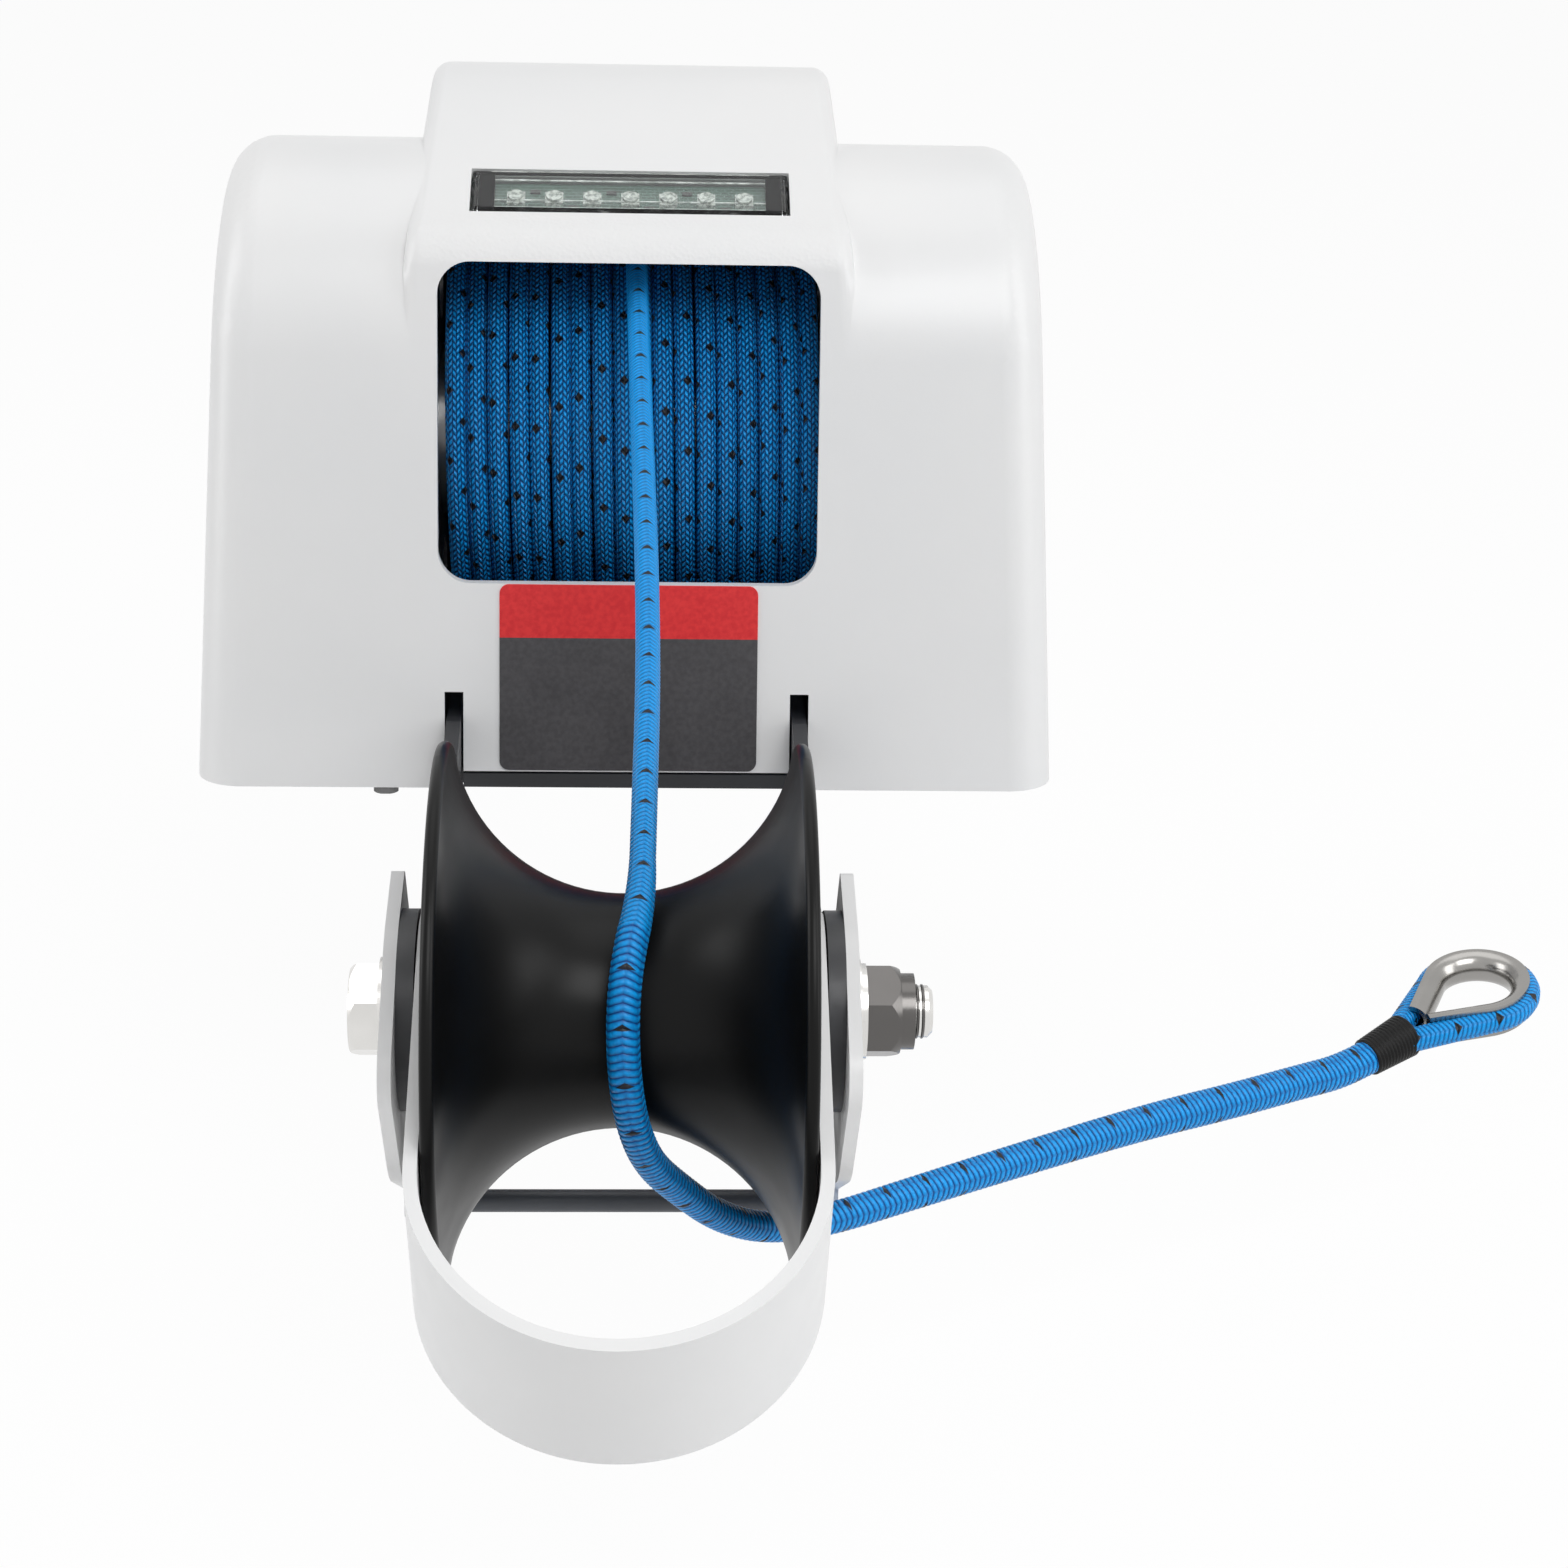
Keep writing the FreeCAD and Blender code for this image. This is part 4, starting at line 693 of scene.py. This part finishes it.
def rounded_plate(width, height, corner, thick, edge):
    """Flat plate about the origin in XY, its corners round and its upper edges eased."""
    made = bmesh.new()
    half_x, half_y = width / 2, height / 2
    verts = [made.verts.new(p) for p in
             ((-half_x, -half_y, 0), (half_x, -half_y, 0), (half_x, half_y, 0), (-half_x, half_y, 0))]
    face = made.faces.new(verts)
    bmesh.ops.bevel(made, geom=verts, offset=corner, offset_type="OFFSET", segments=8, profile=0.5,
                    affect="VERTICES", material=-1)
    face = made.faces[:][0]
    raised = bmesh.ops.extrude_face_region(made, geom=[face])
    top = [v for v in raised["geom"] if isinstance(v, bmesh.types.BMVert)]
    bmesh.ops.translate(made, verts=top, vec=(0, 0, thick))
    bmesh.ops.recalc_face_normals(made, faces=made.faces)
    rim = [e for e in made.edges if all(v.co.z > thick * 0.99 for v in e.verts)]
    bmesh.ops.bevel(made, geom=rim, offset=edge, offset_type="OFFSET", segments=2, profile=0.5,
                    affect="EDGES", material=-1)
    return made


def finish_mesh(name, made, place):
    """Object made of a bmesh that was built about the origin, set in its place."""
    made.transform(place)
    mesh = bpy.data.meshes.new(name)
    made.to_mesh(mesh)
    made.free()
    return link_object(name, mesh)


plate_height = (plate_high_z - plate_low_z) / math.cos(front_lean)
plate_mesh = rounded_plate(plate_width, plate_height, plate_corner, plate_thick, plate_edge)
plate_middle_z = (plate_low_z + plate_high_z) / 2
red_line = (plate_red_z - plate_middle_z) / math.cos(front_lean)
bmesh.ops.bisect_plane(plate_mesh, geom=plate_mesh.verts[:] + plate_mesh.edges[:] + plate_mesh.faces[:],
                       plane_co=(0, red_line, 0), plane_no=(0, 1, 0))
for face in plate_mesh.faces:
    face.material_index = 0 if face.calc_center_median().y > red_line else 1
plate_place = (Matrix.Translation((plate_centre_x * mm,
                                   cover_box_low.y + plate_middle_z * mm * math.tan(front_lean),
                                   plate_middle_z * mm))
               @ Matrix.Rotation(math.pi / 2 - front_lean, 4, "X") @ Matrix.Scale(mm, 4))
front_plate = finish_mesh("front_plate", plate_mesh, plate_place)
for name, dark, light in (("plate_red", (0.62, 0.014, 0.020, 1), (0.72, 0.028, 0.030, 1)),
                          ("plate_charcoal", (0.040, 0.038, 0.042, 1), (0.056, 0.054, 0.058, 1))):
    material, tree, shader = new_material(name, roughness=0.42)
    print_grain = noise_value(tree, 700.0, 3.0)
    tree.links.new(mix(tree, spread(tree, print_grain, 0.35, 0.65), dark, light),
                   shader.inputs["Base Color"])
    smudges = noise_value(tree, 90.0, 2.0)
    tree.links.new(spread(tree, smudges, 0.3, 0.7, 0.36, 0.5), shader.inputs["Roughness"])
    bump(tree, shader, print_grain, 0.01 * mm, 0.4)
    front_plate.data.materials.append(material)
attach(front_plate, "frame")

# Light
# A row of lamps on a green board sits under a clear bevelled lens in the slope of the cover, in a
# black tray that shows at both ends. Resistors lie between the lamps. Pale strips under the lens are
# painted highlights, the bright streaks that the lens's bevel throws.
slope = math.radians(28.7)
slope_bend_z = 148.0
slope_up = 22.3
light_place = (Matrix.Translation(Vector((
    0, cover_box_low.y / mm + slope_bend_z * math.tan(front_lean) + slope_up * math.cos(slope),
    slope_bend_z + slope_up * math.sin(slope))) * mm)
    @ Matrix.Rotation(slope, 4, "X") @ Matrix.Scale(mm, 4))


def boxes(items, edge):
    """One piece made of small blocks, each given as its middle and its size, with eased edges."""
    made = bmesh.new()
    for middle, size in items:
        cube = bmesh.ops.create_cube(made, size=1.0)
        bmesh.ops.scale(made, verts=cube["verts"], vec=size)
        bmesh.ops.translate(made, verts=cube["verts"], vec=middle)
    bmesh.ops.bevel(made, geom=made.edges[:], offset=edge, offset_type="OFFSET", segments=2, profile=0.5,
                    affect="EDGES", material=-1)
    return made


lens_half_x = 43.6
lens_half_y = 9.1
tray_end_x = lens_half_x - 4.0
tray_end_depth = -3.2
tray_end_size = (4.4, 2 * lens_half_y - 3.6, 4.6)
tray_floor_depth = -7.0
tray_floor_thick = 1.6
tray = boxes([
    ((-tray_end_x, 0, tray_end_depth), tray_end_size),
    ((tray_end_x, 0, tray_end_depth), tray_end_size),
    ((0, 0, tray_floor_depth), (2 * lens_half_x, 2 * lens_half_y, tray_floor_thick)),
], 0.3)
light_tray = finish_mesh("light_tray", tray, light_place)
material, tree, shader = new_material("tray_black", (0.005, 0.005, 0.006), 0.45)
shader.inputs["Specular IOR Level"].default_value = 0.1
tree.links.new(spread(tree, noise_value(tree, 800.0), 0.3, 0.7, 0.38, 0.55), shader.inputs["Roughness"])
light_tray.data.materials.append(material)
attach(light_tray, "frame")

resistor_count = 6
resistor_pitch = 10.5
resistor_row = 3.4
resistor_depth = -3.9
resistor_size = (2.8, 1.5, 0.6)
resistors = boxes([
    ((resistor_pitch * (i - (resistor_count - 1) / 2), resistor_row * (1 - 2 * (i % 2)), resistor_depth),
     resistor_size) for i in range(resistor_count)], 0.12)
light_resistors = finish_mesh("light_resistors", resistors, light_place)
material, tree, shader = new_material("resistor_black", (0.02, 0.02, 0.02), 0.35)
tree.links.new(spread(tree, noise_value(tree, 1500.0), 0.3, 0.7, 0.3, 0.5), shader.inputs["Roughness"])
light_resistors.data.materials.append(material)
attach(light_resistors, "frame")

# Each painted highlight strip is given as its place up the slope, its room at the lens's ends and its width.
glint_rows = ((7.6, 5.0, 0.7), (-1.3, 6.0, 0.35), (-4.6, 4.0, 0.5), (-7.6, 3.0, 0.4))
glint_depth = -3.15
glint_thick = 0.4
glint_strips = boxes([((0, up, glint_depth), (2 * (lens_half_x - room), width, glint_thick))
              for up, room, width in glint_rows], 0.08)
lens_glints = finish_mesh("lens_glints", glint_strips, light_place)
material, tree, shader = new_material("glint_pale", roughness=0.25)
# The strips' pale grey is painted highlight.
tree.links.new(
    mix(tree, spread(tree, noise_value(tree, 400.0), 0.35, 0.65),
        (0.30, 0.33, 0.31, 1), (0.80, 0.82, 0.80, 1)),
    shader.inputs["Base Color"])
lens_glints.data.materials.append(material)
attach(lens_glints, "frame")

lens_finish, tree, shader = new_material("clear_lens", (0.94, 0.97, 0.96), 0.02)
shader.inputs["Transmission Weight"].default_value = 1.0
shader.inputs["IOR"].default_value = 1.30
bump(tree, shader, noise_value(tree, 300.0, 1.0), 0.02 * mm, 0.3)
dress("led_lens", lens_finish)

board_finish, tree, shader = new_material("board_green", roughness=0.35)
tracks = tree.nodes.new("ShaderNodeTexBrick")
tree.links.new(tree.nodes.new("ShaderNodeTexCoord").outputs["Object"], tracks.inputs["Vector"])
tracks.inputs["Scale"].default_value = 220.0
tracks.inputs["Color1"].default_value = (0.012, 0.045, 0.032, 1)
tracks.inputs["Color2"].default_value = (0.020, 0.065, 0.046, 1)
tracks.inputs["Mortar"].default_value = (0.10, 0.17, 0.14, 1)
tracks.inputs["Mortar Size"].default_value = 0.03
tree.links.new(tracks.outputs["Color"], shader.inputs["Base Color"])
tree.links.new(spread(tree, noise_value(tree, 500.0), 0.3, 0.7, 0.28, 0.45), shader.inputs["Roughness"])
for name in ("led_board", "control_board"):
    dress(name, board_finish)

lamp_finish, tree, shader = new_material("lamp_white", roughness=0.2)
tree.links.new(
    mix(tree, spread(tree, noise_value(tree, 900.0), 0.4, 0.6),
        (0.22, 0.24, 0.22, 1), (0.55, 0.57, 0.54, 1)),
    shader.inputs["Base Color"])
dress("leds", lamp_finish)

# Davit arms and base plate
# The arms and the base plate are steel, powder-coated black. The coat is satin with a fine grain.


def coated(name, dark, light, low, high, peel):
    """Painted or powder-coated metal, its tone and gloss uneven on a small scale."""
    material, tree, shader = new_material(name)
    skin = use_group(tree, cover_group, Peel=peel)
    tree.links.new(mix(tree, spread(tree, skin.outputs["Mottle"], 0.3, 0.7), (*dark, 1), (*light, 1)),
                   shader.inputs["Base Color"])
    tree.links.new(spread(tree, noise_value(tree, 120.0), 0.3, 0.7, low, high), shader.inputs["Roughness"])
    bump(tree, shader, skin.outputs["Height"], 0.05 * mm, 0.6)
    return material


black_coat = coated("black_coat", (0.018, 0.019, 0.022), (0.030, 0.031, 0.035), 0.34, 0.48, 1.6)
for name in ("arm_left", "arm_right", "base_plate"):
    dress(name, black_coat)

rubber = coated("black_rubber", (0.16, 0.16, 0.16), (0.22, 0.22, 0.22), 0.6, 0.8, 1.0)
dress("rim_bumper", rubber)

# Guide plates and bail
# Both are steel in white powder coat, the bail a broad strap bent to a U.
white_coat = coated("white_coat", (0.80, 0.805, 0.81), (0.83, 0.83, 0.83), 0.30, 0.42, 1.4)
for name in ("cheek_left", "cheek_right", "bail"):
    dress(name, white_coat)

# Roller
# Moulded in black plastic, satin, with the faint scuffs that rope leaves in its groove.
material, tree, shader = new_material("roller_black", roughness=0.3)
shader.inputs["Specular IOR Level"].default_value = 0.16
skin = use_group(tree, cover_group, Peel=0.5)
scuffs = noise_value(tree, 60.0, 2.0)
tree.links.new(
    mix(tree, spread(tree, skin.outputs["Mottle"], 0.3, 0.7),
        (0.002, 0.002, 0.002, 1), (0.004, 0.004, 0.004, 1)),
    shader.inputs["Base Color"])
tree.links.new(spread(tree, scuffs, 0.3, 0.75, 0.30, 0.38), shader.inputs["Roughness"])
bump(tree, shader, skin.outputs["Height"], 0.02 * mm, 0.3)
dress("roller", material)

# Bolt, washers, nut and tie rod
# Stainless fastenings hold the davit's end together. Rings on the bolt's free end stand for its thread.
for name in ("axle_bolt", "axle_washers", "roller_washers", "cover_screws", "plate_screws",
             "shaft_clips", "board_standoffs"):
    dress(name, stainless)
# The nut and the thread rings take the stainless darkened to under a fifth: painted shade for the darker
# surroundings that their facets reflect.
shaded_nut_steel = metal_material("shaded_nut_steel", (0.18, 0.175, 0.175), 0.02)
dress("axle_nut", shaded_nut_steel)
rod_coat = coated("rod_coat", (0.060, 0.066, 0.078), (0.075, 0.082, 0.095), 0.40, 0.50, 0.5)
dress("cross_bar", rod_coat)

axle_low, axle_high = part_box("axle_bolt")
nut_low, nut_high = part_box("axle_nut")
nut_middle = (nut_low + nut_high) / 2
thread_pitch = 1.25
thread_outer = 6.25
thread_inner = 5.7
thread_root = 5.5
crest_from = 0.45
crest_to = 0.75
thread_from = nut_high.x / mm + 0.05
thread_to = axle_high.x / mm - 0.9
thread_outline = [(thread_from, thread_root)]
crests = int((thread_to - thread_from) / thread_pitch)
for i in range(crests):
    start = thread_from + i * thread_pitch
    thread_outline += [(start, thread_inner), (start + crest_from, thread_outer),
                       (start + crest_to, thread_outer)]
thread_outline += [(thread_from + crests * thread_pitch, thread_inner), (thread_to, thread_root)]
thread_place = Matrix.Translation((0, nut_middle.y, nut_middle.z)) @ Matrix.Scale(mm, 4)
bolt_thread = spun_profile("bolt_thread", thread_outline, 64, thread_place)
for polygon in bolt_thread.data.polygons:
    polygon.use_smooth = False
bolt_thread.data.materials.append(shaded_nut_steel)
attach(bolt_thread, "frame")

# Drum and bearings
# The drum is turned aluminium on a steel shaft, in bronze bushes held by two steel plates.
aluminium = metal_material("aluminium", (1.05, 1.06, 1.08), 0.12)
for name in ("drum_core", "drum_flange_left", "drum_flange_right"):
    dress(name, aluminium)
shaft_steel = metal_material("shaft_steel", (0.85, 0.85, 0.87), 0.0)
for name in ("drum_shaft", "idler_pin", "motor_shaft"):
    dress(name, shaft_steel)
bronze = metal_material("bronze", (1.15, 0.80, 0.42), 0.08)
for name in ("roller_bush", "drum_bush_left", "drum_bush_right"):
    dress(name, bronze)
plate_coat = coated("plate_coat", (0.05, 0.052, 0.056), (0.075, 0.077, 0.080), 0.4, 0.55, 1.2)
for name in ("bearing_plate_left", "bearing_plate_right", "plate_ties"):
    dress(name, plate_coat)

# Gears and motor
# Machined steel gears run from the motor's pinion to the drum. The motor is a black can with
# curved magnets round a varnished armature.
gear_steel = metal_material("gear_steel", (0.62, 0.62, 0.64), 0.1)
for name in ("drum_gear", "idler_pinion", "idler_gear", "motor_pinion"):
    dress(name, gear_steel)
motor_coat = coated("motor_coat", (0.02, 0.02, 0.02), (0.035, 0.035, 0.035), 0.35, 0.5, 1.0)
for name in ("motor_can", "motor_end_cap"):
    dress(name, motor_coat)
ferrite = coated("ferrite", (0.05, 0.05, 0.052), (0.09, 0.09, 0.092), 0.6, 0.75, 2.0)
dress("motor_magnets", ferrite)
copper = metal_material("varnished_copper", (1.1, 0.55, 0.28), 0.15)
dress("motor_armature", copper)

# Board parts and cable gland
# Relays, terminals and the gland in the rear wall are plain black plastic.
black_plastic = coated("black_plastic", (0.012, 0.012, 0.013), (0.024, 0.024, 0.026), 0.4, 0.6, 1.5)
for name in ("relays", "cable_gland"):
    dress(name, black_plastic)

# Floor and light
# The davit reaches out over the bow, so the pale floor lies below the whole swing of the bail, under a
# white surround. Broad soft lamps hang above and at both sides.
bail_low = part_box("bail")[0]
axle_middle = (axle_low + axle_high) / 2
bail_swing = math.hypot(axle_middle.y - bail_low.y, axle_middle.z - bail_low.z)
bail_room = 1.0 * mm
floor_z = axle_middle.z - bail_swing - bail_room
floor_size = 8.0


def background_rays(tree):
    """1 for the rays that show the white background: from the camera, off gloss and through glass."""
    rays = tree.nodes.new("ShaderNodeLightPath")
    clear = maths(tree, "MAXIMUM", rays.outputs["Is Camera Ray"], rays.outputs["Is Transmission Ray"])
    return maths(tree, "MAXIMUM", rays.outputs["Is Glossy Ray"], clear)


ground = bmesh.new()
bmesh.ops.create_grid(ground, x_segments=1, y_segments=1, size=floor_size / 2)
floor = finish_mesh("floor", ground, Matrix.Translation((0, 0, floor_z)))
material = bpy.data.materials.new("floor_white")
material.use_nodes = True
tree = material.node_tree
tree.nodes.clear()
surface = tree.nodes.new("ShaderNodeOutputMaterial")
matt = tree.nodes.new("ShaderNodeBsdfDiffuse")
matt.inputs["Color"].default_value = (0.92, 0.92, 0.92, 1)
glow = tree.nodes.new("ShaderNodeEmission")
glow.inputs["Color"].default_value = (1, 1, 1, 1)
glow_share = 0.95
blend = tree.nodes.new("ShaderNodeMixShader")
tree.links.new(maths(tree, "MULTIPLY", background_rays(tree), glow_share), blend.inputs[0])
tree.links.new(matt.outputs[0], blend.inputs[1])
tree.links.new(glow.outputs[0], blend.inputs[2])
tree.links.new(blend.outputs[0], surface.inputs["Surface"])
floor.data.materials.append(material)

world = bpy.data.worlds.new("surround")
bpy.context.scene.world = world
world.use_nodes = True
tree = world.node_tree
background = tree.nodes["Background"]
soft_level = 0.27
tree.links.new(maths(tree, "MAXIMUM", background_rays(tree), soft_level), background.inputs["Strength"])
background.inputs["Color"].default_value = (1, 1, 1, 1)

target = Vector((0, -0.15, 0.06))
for name, place, size, power in (
        ("lamp_front", (0.55, -1.5, 1.5), (1.2, 1.0), 17.5),
        ("lamp_right", (1.5, -0.6, 0.8), (0.7, 1.4), 8.5),
        ("lamp_left", (-1.6, -0.2, 0.7), (0.7, 1.4), 10.0),
        ("lamp_top", (0.0, 0.1, 1.8), (1.6, 1.2), 6.0)):
    light = bpy.data.lights.new(name, "AREA")
    light.shape = "RECTANGLE"
    light.size, light.size_y = size
    light.energy = power
    lamp = link_object(name, light)
    aim = (Vector(place) - target).to_track_quat("Z", "Y")
    lamp.matrix_world = Matrix.Translation(place) @ aim.to_matrix().to_4x4()

bpy.context.scene.view_settings.view_transform = "Standard"
